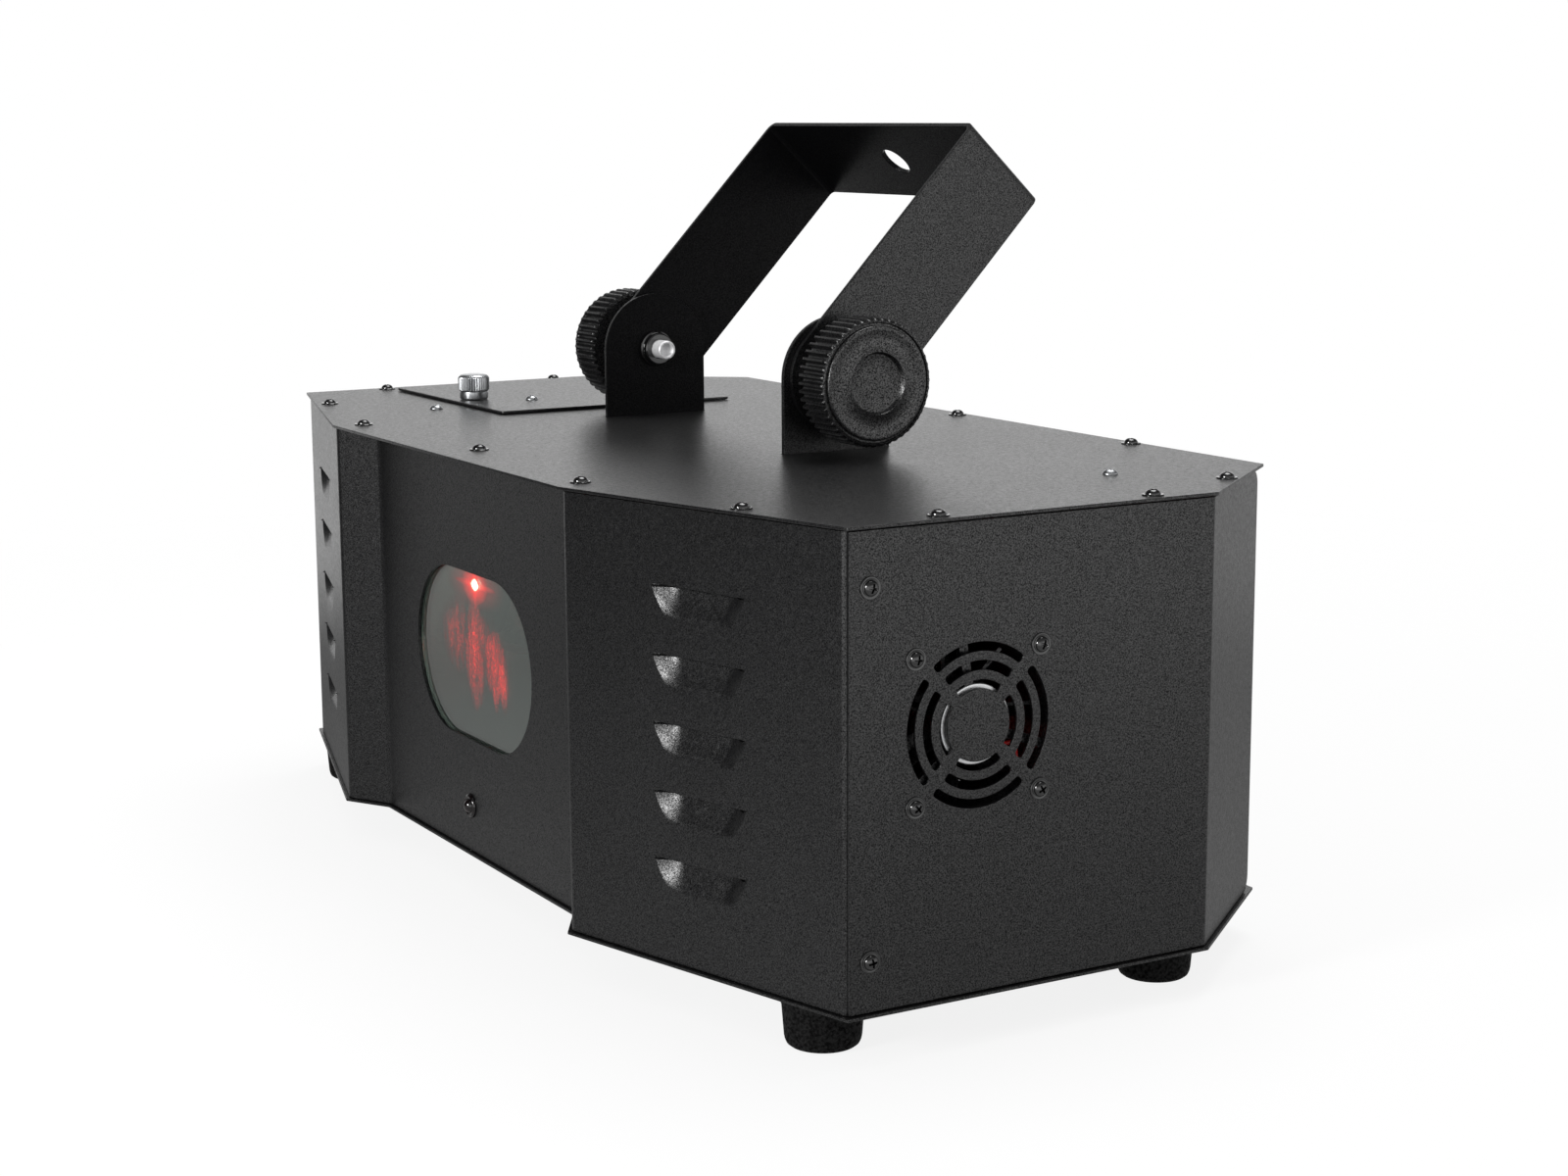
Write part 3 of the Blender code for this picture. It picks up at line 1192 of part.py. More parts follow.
def flower_mirror():
    """A shallow dish of flat facets that turns the light to the window and splits it into petals."""
    bm = bmesh.new()
    segments = MIRROR_FACETS
    centre = bm.verts.new((0, 0, MIRROR_RINGS[0][1]))
    last = None
    for level, (radius, height) in enumerate(MIRROR_RINGS[1:]):
        twist = (level % 2) * pi / segments
        ring = [bm.verts.new((radius * cos(twist + i * 2 * pi / segments),
                              radius * sin(twist + i * 2 * pi / segments), height)) for i in range(segments)]
        for i in range(segments):
            after = (i + 1) % segments
            if last is None:
                bm.faces.new((centre, ring[i], ring[after]))
            elif level % 2:
                bm.faces.new((last[i], ring[i], last[after]))
                bm.faces.new((last[after], ring[i], ring[after]))
            else:
                bm.faces.new((last[i], ring[i], ring[after]))
                bm.faces.new((last[i], ring[after], last[after]))
        last = ring
    bmesh.ops.recalc_face_normals(bm, faces=bm.faces)
    mesh = bpy.data.meshes.new("flower_mirror")
    bm.to_mesh(mesh)
    bm.free()
    turn = Matrix.Rotation(-pi / 4, 4, "Z") @ Matrix.Rotation(pi / 2, 4, "X")
    mirror = place("flower_mirror", mesh, housing, "mirror", (0, MIRROR_Y, OPTIC_HEIGHT), turn.to_euler())
    solid = mirror.modifiers.new("Glass", "SOLIDIFY")
    solid.thickness = MIRROR_THICKNESS
    solid.offset = 1
    return mirror


def mirror_stand():
    """The folded post that holds the mirror from behind and the laser above it."""
    behind = Vector((1, 1, 0)).normalized()
    centre = Vector((0, MIRROR_Y, 0)) + behind * STAND_DISTANCE
    turn = Matrix.Rotation(pi / 4, 4, "Z")
    height = STAND_HEIGHT
    bm = bmesh.new()
    low = SHEET + GAP
    add_box(bm, (TRAY_SHEET, STAND_WIDTH, height - low), (centre.x, centre.y, (height + low) / 2), turn)
    stand = place("mirror_stand", mesh_from(bm, "mirror_stand"), housing, "aluminium")
    foot_bm = bmesh.new()
    foot_centre = centre + behind * (STAND_FOOT - TRAY_SHEET) / 2
    foot_size = (STAND_FOOT, STAND_WIDTH, TRAY_SHEET)
    add_box(foot_bm, foot_size, (foot_centre.x, foot_centre.y, low + TRAY_SHEET / 2), turn)
    boolean(stand, place("stand_foot", mesh_from(foot_bm, "stand_foot"), housing), "UNION")
    peg_bm = bmesh.new()
    radius, length, distance = STAND_PEG
    peg_place = Matrix.Translation(Vector((0, MIRROR_Y, OPTIC_HEIGHT)) + behind * distance)
    peg_turn = peg_place @ turn @ axis_turn("X")
    bmesh.ops.create_cone(peg_bm, cap_ends=True, segments=16, radius1=radius, radius2=radius, depth=length,
                          matrix=peg_turn)
    boolean(stand, place("stand_peg", mesh_from(peg_bm, "stand_peg"), housing), "UNION")
    arm_bm = bmesh.new()
    arm_size = (STAND_ARM_WIDTH, centre.y - LASER_Y[1] + 0.0180, TRAY_SHEET)
    add_box(arm_bm, arm_size, (0.004, (LASER_Y[1] + centre.y) / 2 + 0.001, height - TRAY_SHEET / 2))
    boolean(stand, place("stand_arm", mesh_from(arm_bm, "stand_arm"), housing), "UNION")
    return stand


def laser_module():
    """The small laser barrel under the stand's arm, aimed at the window."""
    half = (LASER_Y[1] - LASER_Y[0]) / 2
    recess = half - LASER_RECESS
    profile = [(0, recess), (LASER_APERTURE, recess), (LASER_APERTURE + 0.0004, half),
               (LASER_RADIUS - 0.0005, half),
               (LASER_RADIUS, half - 0.0005), (LASER_RADIUS, -half), (0, -half)]
    centre = (0, sum(LASER_Y) / 2, LASER_HEIGHT)
    return turned("laser_module", profile, centre, "Y", housing, "zinc_plated_steel", 24, flip=True)


def power_supply():
    """The supply's board with its transformer, capacitors and cooling plate."""
    corner = Vector((*SUPPLY_PLACE, SHEET + GAP))
    centre = corner + Vector((0, 0, SUPPLY_BOARD[2] / 2))
    board = box("power_supply", SUPPLY_BOARD, centre, housing, "circuit_board")
    bm = bmesh.new()
    for size, offset in (TRANSFORMER, COOLING_PLATE):
        add_box(bm, size, corner + Vector(offset))
    for radius, length, offset in CAPACITORS:
        add_rod(bm, radius, length, corner + Vector(offset), "Z", 20)
    boolean(board, place("supply_parts", mesh_from(bm, "supply_parts"), housing), "UNION")
    return board


def control_board():
    """The upright board behind the display and its buttons."""
    x, z = DISPLAY_PLACE
    y = REAR_Y - BOARD_DISTANCE
    board = box("control_board", BOARD_SIZE, (x, y, z - BOARD_DROP), housing, "circuit_board")
    posts = bmesh.new()
    aside, ahead, above = BOARD_POST_PLACE
    for side in (LEFT, RIGHT):
        add_rod(posts, *BOARD_POST, (x + side * aside, y + ahead, z + above), "Y", 12)
    boolean(board, place("board_posts", mesh_from(posts, "board_posts"), housing), "UNION")
    return board


def mains_inlet():
    """A three-pin inlet with a well for its plug and another for the fuse drawer under it."""
    x, z = INLET_PLACE
    flange = box("mains_inlet", INLET_FLANGE, (x, REAR_Y + GAP + INLET_FLANGE[1] / 2, z), housing,
                 "black_abs")
    bm = bmesh.new()
    add_box(bm, INLET_BODY, (x, REAR_Y + 0.0015 - INLET_BODY[1] / 2, z))
    boolean(flange, place("inlet_body", mesh_from(bm, "inlet_body"), housing), "UNION")
    cuts = bmesh.new()
    for width, height, above in (INLET_WELL, FUSE_WELL):
        add_box(cuts, (width, 2 * WELL_DEPTH, height), (x, REAR_Y, z + above))
    boolean(flange, place("inlet_wells", mesh_from(cuts, "inlet_wells"), housing))
    pins = bmesh.new()
    for px, pz in INLET_PINS:
        add_box(pins, INLET_PIN, (x + px, REAR_Y - 0.0040 - INLET_PIN[1] / 2, z + pz))
    boolean(flange, place("inlet_pins", mesh_from(pins, "inlet_pins"), housing), "UNION")
    return flange


fuse_slide = pivot("fuse_slide", (INLET_PLACE[0], REAR_Y, INLET_PLACE[1] + FUSE_WELL[2]), housing)


def fuse_drawer():
    """The drawer that pulls out under the inlet, with a nib to pull it by."""
    drawer = box("fuse_drawer", FUSE_DRAWER, (0, -0.0045, 0), fuse_slide, "black_abs")
    boolean(drawer, box("fuse_nib", FUSE_NIB, (0, 0.0024, 0), fuse_slide), "UNION")
    return drawer


def signal_socket(name, where, with_pins):
    """A round three-pole socket in a flange: pins in a well for the input, a holed face for the output."""
    x, z = where
    flange = box(name, SIGNAL_FLANGE, (x, REAR_Y + GAP + SIGNAL_FLANGE[1] / 2, z), housing, "black_abs")
    radius, length = SIGNAL_BARREL
    barrel_y = REAR_Y + 0.0010 - length / 2
    boolean(flange, rod(name + "_barrel", radius, length, (x, barrel_y, z), "Y", housing, None, 32), "UNION")
    poles = [(x + SIGNAL_POLE_CIRCLE * cos(angle), z + SIGNAL_POLE_CIRCLE * sin(angle))
             for angle in SIGNAL_POLES]
    if with_pins:
        radius, depth = SIGNAL_WELL
        boolean(flange, rod(name + "_well", radius, 2 * depth, (x, REAR_Y, z), "Y", housing, None, 32))
        radius, length = SIGNAL_PIN
        ends, operation, centre_y, segments = name + "_pins", "UNION", REAR_Y - 0.0045 - length / 2, 10
    else:
        radius, depth = SIGNAL_HOLE
        length = 2 * depth
        ends, operation, centre_y, segments = name + "_holes", "DIFFERENCE", REAR_Y, 12
    bm = bmesh.new()
    for pole_x, pole_z in poles:
        add_rod(bm, radius, length, (pole_x, centre_y, pole_z), "Y", segments)
    boolean(flange, place(ends, mesh_from(bm, ends), housing), operation)
    return flange


def display_window():
    """The display's dark window, held in the rear panel by its rim."""
    x, z = DISPLAY_PLACE
    window = box("display_window", DISPLAY_WINDOW, (x, REAR_Y + GAP + DISPLAY_WINDOW[1] / 2, z), housing,
                 "receiver_plastic", DISPLAY_EDGE)
    boolean(window, box("display_body", DISPLAY_BODY, (x, REAR_Y - 0.0055, z), housing), "UNION")
    return window


def menu_button(name, x, z):
    """A round push button with a stem that reaches the control board's switch."""
    axis = pivot(name + "_slide", (x, REAR_Y, z), housing)
    return turned(name, BUTTON_PROFILE, (0, 0, 0), "Y", axis, "black_abs", 10)


def build():
    """Make every piece."""
    base_plate()
    top_cover()
    front_shell()
    side_panel("side_panel_left", LEFT)
    side_panel("side_panel_right", RIGHT)
    rear_panel()
    hatch_cover()
    thumbscrew()
    yoke()
    for side, word in ((LEFT, "left"), (RIGHT, "right")):
        bracket("bracket_" + word, side)
        clamp_nut("clamp_nut_" + word, side)
        axis = pivot("clamp_axis_" + word, (0, AXIS_Y, AXIS_HEIGHT), housing)
        clamp_knob("clamp_knob_" + word, side, axis)
        stud("clamp_stud_" + word, side, axis)
        for end, (x, y) in zip(("front", "rear"), FOOT_PLACES):
            foot("foot_%s_%s" % (end, word), side * x, y)
        for level, height in zip(("lower", "upper"), SIDE_SCREW_HEIGHTS):
            pan_screw("side_screw_%s_%s" % (word, level), (side * SIDE_X, SIDE_SCREW_Y, height), side == LEFT)
    fan_frame()
    fan_rotor()
    for number, (y, z) in enumerate(fan_screw_places(), 1):
        pan_screw("fan_screw_%d" % number, (SIDE_X, y, z))
    lens_gasket()
    lens_glass()
    infrared_receiver()
    optics_tray()
    led_heat_sink()
    led_module()
    condenser_lens()
    gobo_wheel()
    gobo_motor()
    projection_barrel()
    projection_lens()
    flower_mirror()
    mirror_stand()
    laser_module()
    power_supply()
    control_board()
    mains_inlet()
    fuse_drawer()
    signal_socket("signal_in_socket", SIGNAL_IN_PLACE, True)
    signal_socket("signal_out_socket", SIGNAL_OUT_PLACE, False)
    display_window()
    for number, (x, z) in enumerate(button_places(), 1):
        menu_button("menu_button_%d" % number, x, z)


build()
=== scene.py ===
"""Finished look of a gobo effect light: powder-coated sheet steel housing, yoke with ribbed clamp knobs,
louvred corners, slotted fan grille, tinted window, screws and rubber feet. Lengths are in metres."""
from math import cos, pi, radians, sin

import bmesh
import bpy
from mathutils import Matrix, Vector


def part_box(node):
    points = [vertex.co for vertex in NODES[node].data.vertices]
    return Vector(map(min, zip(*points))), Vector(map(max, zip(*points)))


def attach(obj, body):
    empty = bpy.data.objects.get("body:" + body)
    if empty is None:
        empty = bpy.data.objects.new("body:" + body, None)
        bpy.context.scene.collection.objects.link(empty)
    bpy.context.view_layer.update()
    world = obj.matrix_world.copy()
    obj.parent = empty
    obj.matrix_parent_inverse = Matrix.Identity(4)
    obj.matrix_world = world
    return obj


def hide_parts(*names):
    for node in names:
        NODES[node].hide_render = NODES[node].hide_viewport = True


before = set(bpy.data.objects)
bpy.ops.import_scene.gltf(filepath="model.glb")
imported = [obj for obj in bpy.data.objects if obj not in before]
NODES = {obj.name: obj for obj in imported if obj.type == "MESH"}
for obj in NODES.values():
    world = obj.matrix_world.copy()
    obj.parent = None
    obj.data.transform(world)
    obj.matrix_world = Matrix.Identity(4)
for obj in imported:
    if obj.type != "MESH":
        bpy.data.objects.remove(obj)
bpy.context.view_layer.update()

bl_info = {
    "name": "Gobo effect light",
    "version": (1, 0, 0),
    "blender": (4, 5, 0),
    "location": "View3D > Sidebar > Effect light",
    "description": "Builds the finished pieces of a gobo effect light around its CAD frame",
    "category": "Object",
}

# The housing's own frame, as in the CAD source: Y = 0 at the cover's front edge, Z = 0 under the base
ORIGIN = Vector((0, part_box("top_cover")[0].y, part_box("base_plate")[0].z))

# Housing, as the CAD source has it
HALF_WIDTH = 0.247
FRONT_HALF = 0.112
CORNER_SETBACK = 0.0375
SIDE_REAR = 0.188
REAR_HALF = 0.197
DEPTH = 0.250
REAR_Y = 0.2468
BODY_HEIGHT = 0.165
SHEET = 0.0012
OVERHANG = 0.0015
GAP = 0.0003
RECESS_HALF = 0.0920
RECESS_DEPTH = 0.0118
FLANGE = 0.016
WALL_BOTTOM = SHEET + GAP
WALL_TOP = BODY_HEIGHT - SHEET - 0.0006
SIDE_SCREW_Y = 0.0470
SIDE_SCREW_HEIGHTS = (0.0190, 0.1444)
SCREW_HOLE = 0.0021

# Louvres
LOUVRE_COUNT = 5
LOUVRE_PITCH = 0.0243
LOUVRE_TOP = 0.1358
LOUVRE_START = 0.0455
LOUVRE_LENGTH = 0.0455
LOUVRE_HEIGHT = 0.0116
LOUVRE_INSET = 0.0072
LOUVRE_ROUND = 0.18
LOUVRE_COLUMNS = 22
LOUVRE_ROWS = 9
SLIT_KERF = 0.0005

# Window, receiver and fan. The pane sits nearer the sheet than the CAD's glass, as in the photo
WINDOW_REACH = 0.056
WINDOW_HALF_HEIGHT = 0.0343
WINDOW_HEIGHT = 0.0820
GLASS_THICKNESS = 0.003
GLASS_FORWARD = 0.0020
RECEIVER_PLACE = (-0.0055, 0.0202)
RECEIVER_HOLE = 0.0036
FAN_PLACE = (0.0895, 0.0940)
FAN_HOLE = 0.025
GRILLE_RINGS = ((0.0252, 0.0283), (0.0188, 0.0220), (0.0125, 0.0155))
GRILLE_SPOKE = 0.0046

# Tilt axis, yoke, brackets and knobs
AXIS_Y = 0.1362
AXIS_HEIGHT = 0.1937
TILT = radians(43.4)
YOKE_OUTER = 0.0800
YOKE_SHEET = 0.0020
YOKE_WIDTH = 0.0433
YOKE_REACH = 0.1129
YOKE_HOLE = 0.014
BRACKET_SHEET = 0.0020
BRACKET_WIDTH = 0.048
BRACKET_FOOT = 0.020
STUD_HOLE = 0.0088
STUD_RADIUS = 0.0040
STUD_CORE = 0.00365
STUD_PITCH = 0.00125
STUD_INNER_END = 0.0645
KNOB_BACK = 0.0896
KNOB_FACE = 0.1080
KNOB_WELL = 0.0063

# Loose hardware on the cover: black flanged screws, and the bright ones that hold the parts inside
BLACK_SCREWS = (
    (-0.193, 0.029), (-0.106, 0.0116), (0.0, 0.0186), (0.106, 0.0116), (0.193, 0.029),
    (-0.241, 0.076), (0.241, 0.076), (-0.241, 0.164), (0.241, 0.164),
    (-0.2208, 0.213), (0.2208, 0.213), (-0.122, 0.2454), (0.122, 0.2454), (0.0, 0.2443))
BRIGHT_SCREWS = ((-0.147, 0.062, 0.0), (-0.147, 0.109, 0.0015), (0.1895, 0.1845, 0.0))
FOOT_PLACES = ((0.2175, 0.0455), (0.2165, 0.1875))

SIDES = ((-1, "left"), (1, "right"))
MERGE = 0.000002
ON_PLANE = 0.00001
SLACK = 0.00002
SMOOTH = radians(32)
X_TURN = Matrix.Rotation(pi / 2, 4, "Y")
OUTWARD = {1: X_TURN, -1: X_TURN @ Matrix.Rotation(pi, 4, "X")}
Y_TURN = Matrix.Rotation(-pi / 2, 4, "X")
UPRIGHT = Matrix.Rotation(pi / 2, 4, "X")


def rgb(text):
    """A colour written as sRGB hex, turned to linear."""
    channels = [int(text[i:i + 2], 16) / 255 for i in (0, 2, 4)]
    return tuple(c / 12.92 if c <= 0.04045 else ((c + 0.055) / 1.055) ** 2.4 for c in channels)


# Settings


class LightFinish(bpy.types.PropertyGroup):
    """Colours and grain of the finishes."""
    coat_colour: bpy.props.FloatVectorProperty(
        name="Powder coat", description="Colour of the coat on the sheet steel", size=3, subtype="COLOR",
        min=0, max=1, default=rgb("0b0b0c"))
    coat_grain: bpy.props.FloatProperty(
        name="Coat grain", description="Width of one grain of the powder coat", unit="LENGTH",
        default=0.0005, min=0.0002, max=0.004)
    knob_colour: bpy.props.FloatVectorProperty(
        name="Knob plastic", description="Colour of the moulded knobs", size=3, subtype="COLOR",
        min=0, max=1, default=rgb("0d0d0e"))
    rubber_colour: bpy.props.FloatVectorProperty(
        name="Foot rubber", description="Colour of the rubber feet", size=3, subtype="COLOR",
        min=0, max=1, default=rgb("0c0c0c"))
    glass_colour: bpy.props.FloatVectorProperty(
        name="Window tint", description="Tint of the window glass", size=3, subtype="COLOR",
        min=0, max=1, default=rgb("8fa096"))
    beam_colour: bpy.props.FloatVectorProperty(
        name="Laser light", description="Colour of the laser's light on the window", size=3, subtype="COLOR",
        min=0, max=1, default=rgb("ff0a08"))


class LightSizes(bpy.types.PropertyGroup):
    """Sizes of the visible details."""
    edge_round: bpy.props.FloatProperty(
        name="Edge rounding", description="Rounding of a coated sheet edge", unit="LENGTH",
        default=0.0003, min=0.00005, max=0.0005)
    louvre_depth: bpy.props.FloatProperty(
        name="Louvre depth", description="How far a louvre is pressed in at its slit", unit="LENGTH",
        default=0.0046, min=0.0, max=0.005)
    knob_ribs: bpy.props.IntProperty(
        name="Knob ribs", description="Ribs round a clamp knob", default=48, min=12, max=72)
    groove_depth: bpy.props.FloatProperty(
        name="Groove depth", description="Depth of the grooves between a knob's ribs", unit="LENGTH",
        default=0.0020, min=0.0002, max=0.003)
    knurls: bpy.props.IntProperty(
        name="Knurls", description="Knurls round the thumbscrew", default=40, min=12, max=60)


class LightStage(bpy.types.PropertyGroup):
    """Studio round the light."""
    plain_level: bpy.props.FloatProperty(
        name="Plain level", description="Even light from all round", default=0.62, min=0, max=2)
    key_power: bpy.props.FloatProperty(
        name="Key lamp", description="Power of the lamp at the front", subtype="POWER", default=28.0,
        min=0, max=500)
    top_power: bpy.props.FloatProperty(
        name="Top lamp", description="Power of the soft lamp overhead", subtype="POWER", default=30.0,
        min=0, max=500)
    floor_radius: bpy.props.FloatProperty(
        name="Floor radius", description="Radius of the pale floor", unit="LENGTH", default=1.1,
        min=0.5, max=5)


def finishes():
    return bpy.context.scene.light_finish


def sizes():
    return bpy.context.scene.light_sizes


# Materials. Each function has the name of its finish


def feed(tree, node, inputs):
    """Set a node's inputs, by name or number, to values, or link them to outputs."""
    for key, value in inputs.items():
        if isinstance(value, bpy.types.NodeSocket):
            tree.links.new(value, node.inputs[key])
        else:
            node.inputs[key].default_value = value


def add(tree, kind, inputs=None, stops=(), **settings):
    """Add a node with its settings, its inputs and a colour ramp's (position, grey or colour) stops."""
    node = tree.nodes.new("ShaderNode" + kind)
    for key, value in settings.items():
        setattr(node, key, value)
    feed(tree, node, inputs or {})
    for number, (position, value) in enumerate((*stops[:1], *stops[-1:], *stops[1:-1])):
        elements = node.color_ramp.elements
        element = elements[number] if number < 2 else elements.new(position)
        element.position = position
        element.color = (*((value,) * 3 if isinstance(value, float) else value), 1)
    return node


def turned(tree, place):
    """Coordinates turned out of the square, so that no flat face lies in a plane of a noise's lattice."""
    return add(tree, "Mapping", {"Vector": place, "Rotation": (0.5, 0.7, 0.3)}).outputs[0]


def blank(name):
    """A material with nothing but its Principled shader, which is returned with the tree and coordinates."""
    material = bpy.data.materials.new(name)
    material.use_nodes = True
    tree = material.node_tree
    return material, tree, tree.nodes["Principled BSDF"], add(tree, "TexCoord").outputs["Object"]


def shade(colour, share):
    """A colour made lighter or darker."""
    return tuple(min(1.0, c * share) for c in colour)


def mottle(tree, factor, colour, dark, light):
    """A colour that goes softly between two shares of itself."""
    stops = ((0.3, shade(colour, dark)), (0.7, shade(colour, light)))
    return add(tree, "ValToRGB", {"Fac": factor}, stops).outputs["Color"]


def powder_coat(name="powder_coat", gloss=1.0):
    """Polyester powder coat, sprayed and baked on steel: near-black and satin, with an orange-peel grain of
    half a millimetre. Its pits are dull and its crests catch the light, which makes the flats look sandy."""
    material, tree, shader, flat = blank(name)
    place = turned(tree, flat)
    grain = 1 / finishes().coat_grain
    fine = add(tree, "TexNoise", {"Vector": place, "Scale": grain, "Detail": 3.0, "Roughness": 0.65})
    peel = add(tree, "TexNoise", {"Vector": place, "Scale": grain / 3.2, "Detail": 2.0})
    cloud = add(tree, "TexNoise", {"Vector": place, "Scale": 22.0, "Detail": 3.0})
    fine, peel, cloud = (node.outputs["Fac"] for node in (fine, peel, cloud))
    crest = add(tree, "MapRange", {"Value": fine, "From Min": 0.36, "From Max": 0.66,
                                   "To Min": 0.08 * gloss, "To Max": 1.10 * gloss})
    rough = add(tree, "MapRange", {"Value": peel, "From Min": 0.3, "From Max": 0.7, "To Min": 0.30,
                                   "To Max": 0.40})
    height = add(tree, "Math", {0: fine, 1: peel}, operation="ADD")
    bump = add(tree, "Bump", {"Height": height.outputs[0], "Strength": 0.5, "Distance": 0.00010})
    feed(tree, shader, {
        "Base Color": mottle(tree, cloud, finishes().coat_colour, 0.8, 1.2),
        "Specular IOR Level": crest.outputs[0], "Roughness": rough.outputs[0], "Normal": bump.outputs[0]})
    return material


def painted_shade_coat():
    """Painted shade: the same coat with nearly no gloss, for the faces inside the yoke and brackets and under
    the yoke's bar, which lie in the shade of the other parts."""
    return powder_coat("powder_coat_painted_shade", 0.12)


def moulded(name, colour, roughness, grain, gloss):
    """A moulded black plastic or rubber: an even eroded grain, whose tips catch the light."""
    material, tree, shader, flat = blank(name)
    place = turned(tree, flat)
    fine = add(tree, "TexNoise", {"Vector": place, "Scale": 1 / grain, "Detail": 2.0}).outputs["Fac"]
    cloud = add(tree, "TexNoise", {"Vector": place, "Scale": 90.0}).outputs["Fac"]
    rough = add(tree, "MapRange", {"Value": fine, "To Min": roughness - 0.08, "To Max": roughness + 0.08})
    tips = add(tree, "MapRange", {"Value": fine, "From Min": 0.36, "From Max": 0.66, "To Min": gloss * 0.1,
                                  "To Max": gloss * 2.1})
    bump = add(tree, "Bump", {"Height": fine, "Strength": 0.5, "Distance": 0.00012})
    feed(tree, shader, {
        "Base Color": mottle(tree, cloud, colour, 0.85, 1.2), "Roughness": rough.outputs[0],
        "Specular IOR Level": tips.outputs[0], "Normal": bump.outputs[0]})
    return material


def knob_plastic():
    """ABS, moulded in a spark-eroded tool: satin, finely pitted."""
    return moulded("moulded_abs", finishes().knob_colour, 0.36, 0.00055, 0.72)


def fan_plastic():
    """PBT, moulded smooth for the fan's frame and blades: even, and less glossy than the knobs."""
    return moulded("moulded_pbt", rgb("0c0c0d"), 0.38, 0.0009, 0.5)


def foot_rubber():
    """Moulded rubber: dull, with a bloom that is a little paler here and there."""
    return moulded("foot_rubber", finishes().rubber_colour, 0.72, 0.0011, 0.12)


def metal(name, colour, roughness, stretch, metallic=1.0):
    """A bare metal whose tool marks run along one direction."""
    material, tree, shader, place = blank(name)
    along = add(tree, "Mapping", {"Vector": place, "Scale": stretch})
    marks = add(tree, "TexNoise", {"Vector": along.outputs[0], "Scale": 1.0, "Detail": 4.0}).outputs["Fac"]
    rough = add(tree, "MapRange", {"Value": marks, "To Min": roughness - 0.1, "To Max": roughness + 0.1})
    bump = add(tree, "Bump", {"Height": marks, "Strength": 0.4, "Distance": 0.00003})
    feed(tree, shader, {
        "Base Color": mottle(tree, marks, colour, 0.86, 1.08), "Metallic": metallic,
        "Roughness": rough.outputs[0], "Normal": bump.outputs[0]})
    return material


def zinc_steel():
    """Zinc over turned steel: a cool satin metal, broken by fine turning marks across the axis."""
    return metal("zinc_plated_steel", rgb("b6b8ba"), 0.34, (2500.0, 2500.0, 900.0))


def stud_zinc_painted_sheen():
    """Zinc over a ground stud end, satin. Its pale, half-diffuse colour is a painted sheen that stands in for
    bright reflections and keeps it bright from every side.
    """
    return metal("satin_zinc_painted_sheen", rgb("ececed"), 0.55, (2500.0, 2500.0, 900.0), 0.55)


def aluminium():
    """Rolled aluminium sheet: grey, with long faint rolling lines."""
    return metal("mill_aluminium", rgb("b4b6b8"), 0.38, (60.0, 60.0, 1400.0))


def hub():
    """Bare satin aluminium disc in the middle of the fan."""
    return metal("satin_aluminium", rgb("e4e5e6"), 0.42, (900.0, 900.0, 900.0))


def patchy(name, pattern, stops, inputs, rough=None):
    """A material whose colour follows one noise, as its roughness does where that is given as a range."""
    material, tree, shader, place = blank(name)
    patches = add(tree, "TexNoise", {"Vector": place, **pattern}).outputs["Fac"]
    base = add(tree, "ValToRGB", {"Fac": patches}, stops)
    feed(tree, shader, {"Base Color": base.outputs["Color"], **inputs})
    if rough:
        low, high = rough
        level = add(tree, "MapRange", {"Value": patches, "To Min": low, "To Max": high})
        feed(tree, shader, {"Roughness": level.outputs[0]})
    return material


def black_screw():
    """Blackened and oiled steel, as on small machine screws: near-black, with sharp highlights."""
    return patchy("blackened_steel", {"Scale": 1400.0, "Detail": 3.0},
                  ((0.35, rgb("050505")), (0.75, rgb("111112"))), {"Specular IOR Level": 1.0}, (0.10, 0.22))


def window_glass():
    """Float glass with a grey-green tint: it mirrors the room, and lets the laser's red light show."""
    colour = finishes().glass_colour
    return patchy(
        "tinted_float_glass", {"Scale": 40.0, "Detail": 4.0},
        ((0.3, shade(colour, 0.92)), (0.7, shade(colour, 1.05))),
        {"Transmission Weight": 0.95, "IOR": 1.52, "Specular IOR Level": 1.0,
         "Specular Tint": (0.86, 1.0, 0.88, 1.0), "Coat Weight": 1.0, "Coat Roughness": 0.02,
         "Coat IOR": 1.9}, (0.0, 0.025))


def lens_glass():
    """Ground and polished crown glass: clear, with a faint cool edge."""
    return patchy("crown_glass", {"Scale": 120.0}, ((0.3, rgb("e4ecea")), (0.7, rgb("f2f6f5"))),
                  {"Transmission Weight": 1.0, "IOR": 1.52, "Roughness": 0.02})


def receiver_lens():
    """Infrared-pass polycarbonate: black to the eye and polished, with a deep red tone in its body."""
    return patchy("infrared_pass_polycarbonate", {"Scale": 300.0},
                  ((0.3, rgb("060607")), (0.7, rgb("12090a"))), {"Roughness": 0.10, "Coat Weight": 0.5})


def mirror():
    """Vacuum-coated aluminium on glass facets: a clean mirror with a slight haze of dust."""
    return patchy("silvered_mirror", {"Scale": 260.0, "Detail": 5.0},
                  ((0.4, rgb("dfe2e3")), (0.8, rgb("c3c6c7"))), {"Metallic": 1.0}, (0.02, 0.12))


def lead():
    """Red PVC insulation of the fan's lead: soft gloss, slightly uneven."""
    return patchy("red_pvc", {"Scale": 500.0}, ((0.3, rgb("c81e1e")), (0.7, rgb("e03030"))),
                  {"Roughness": 0.35})


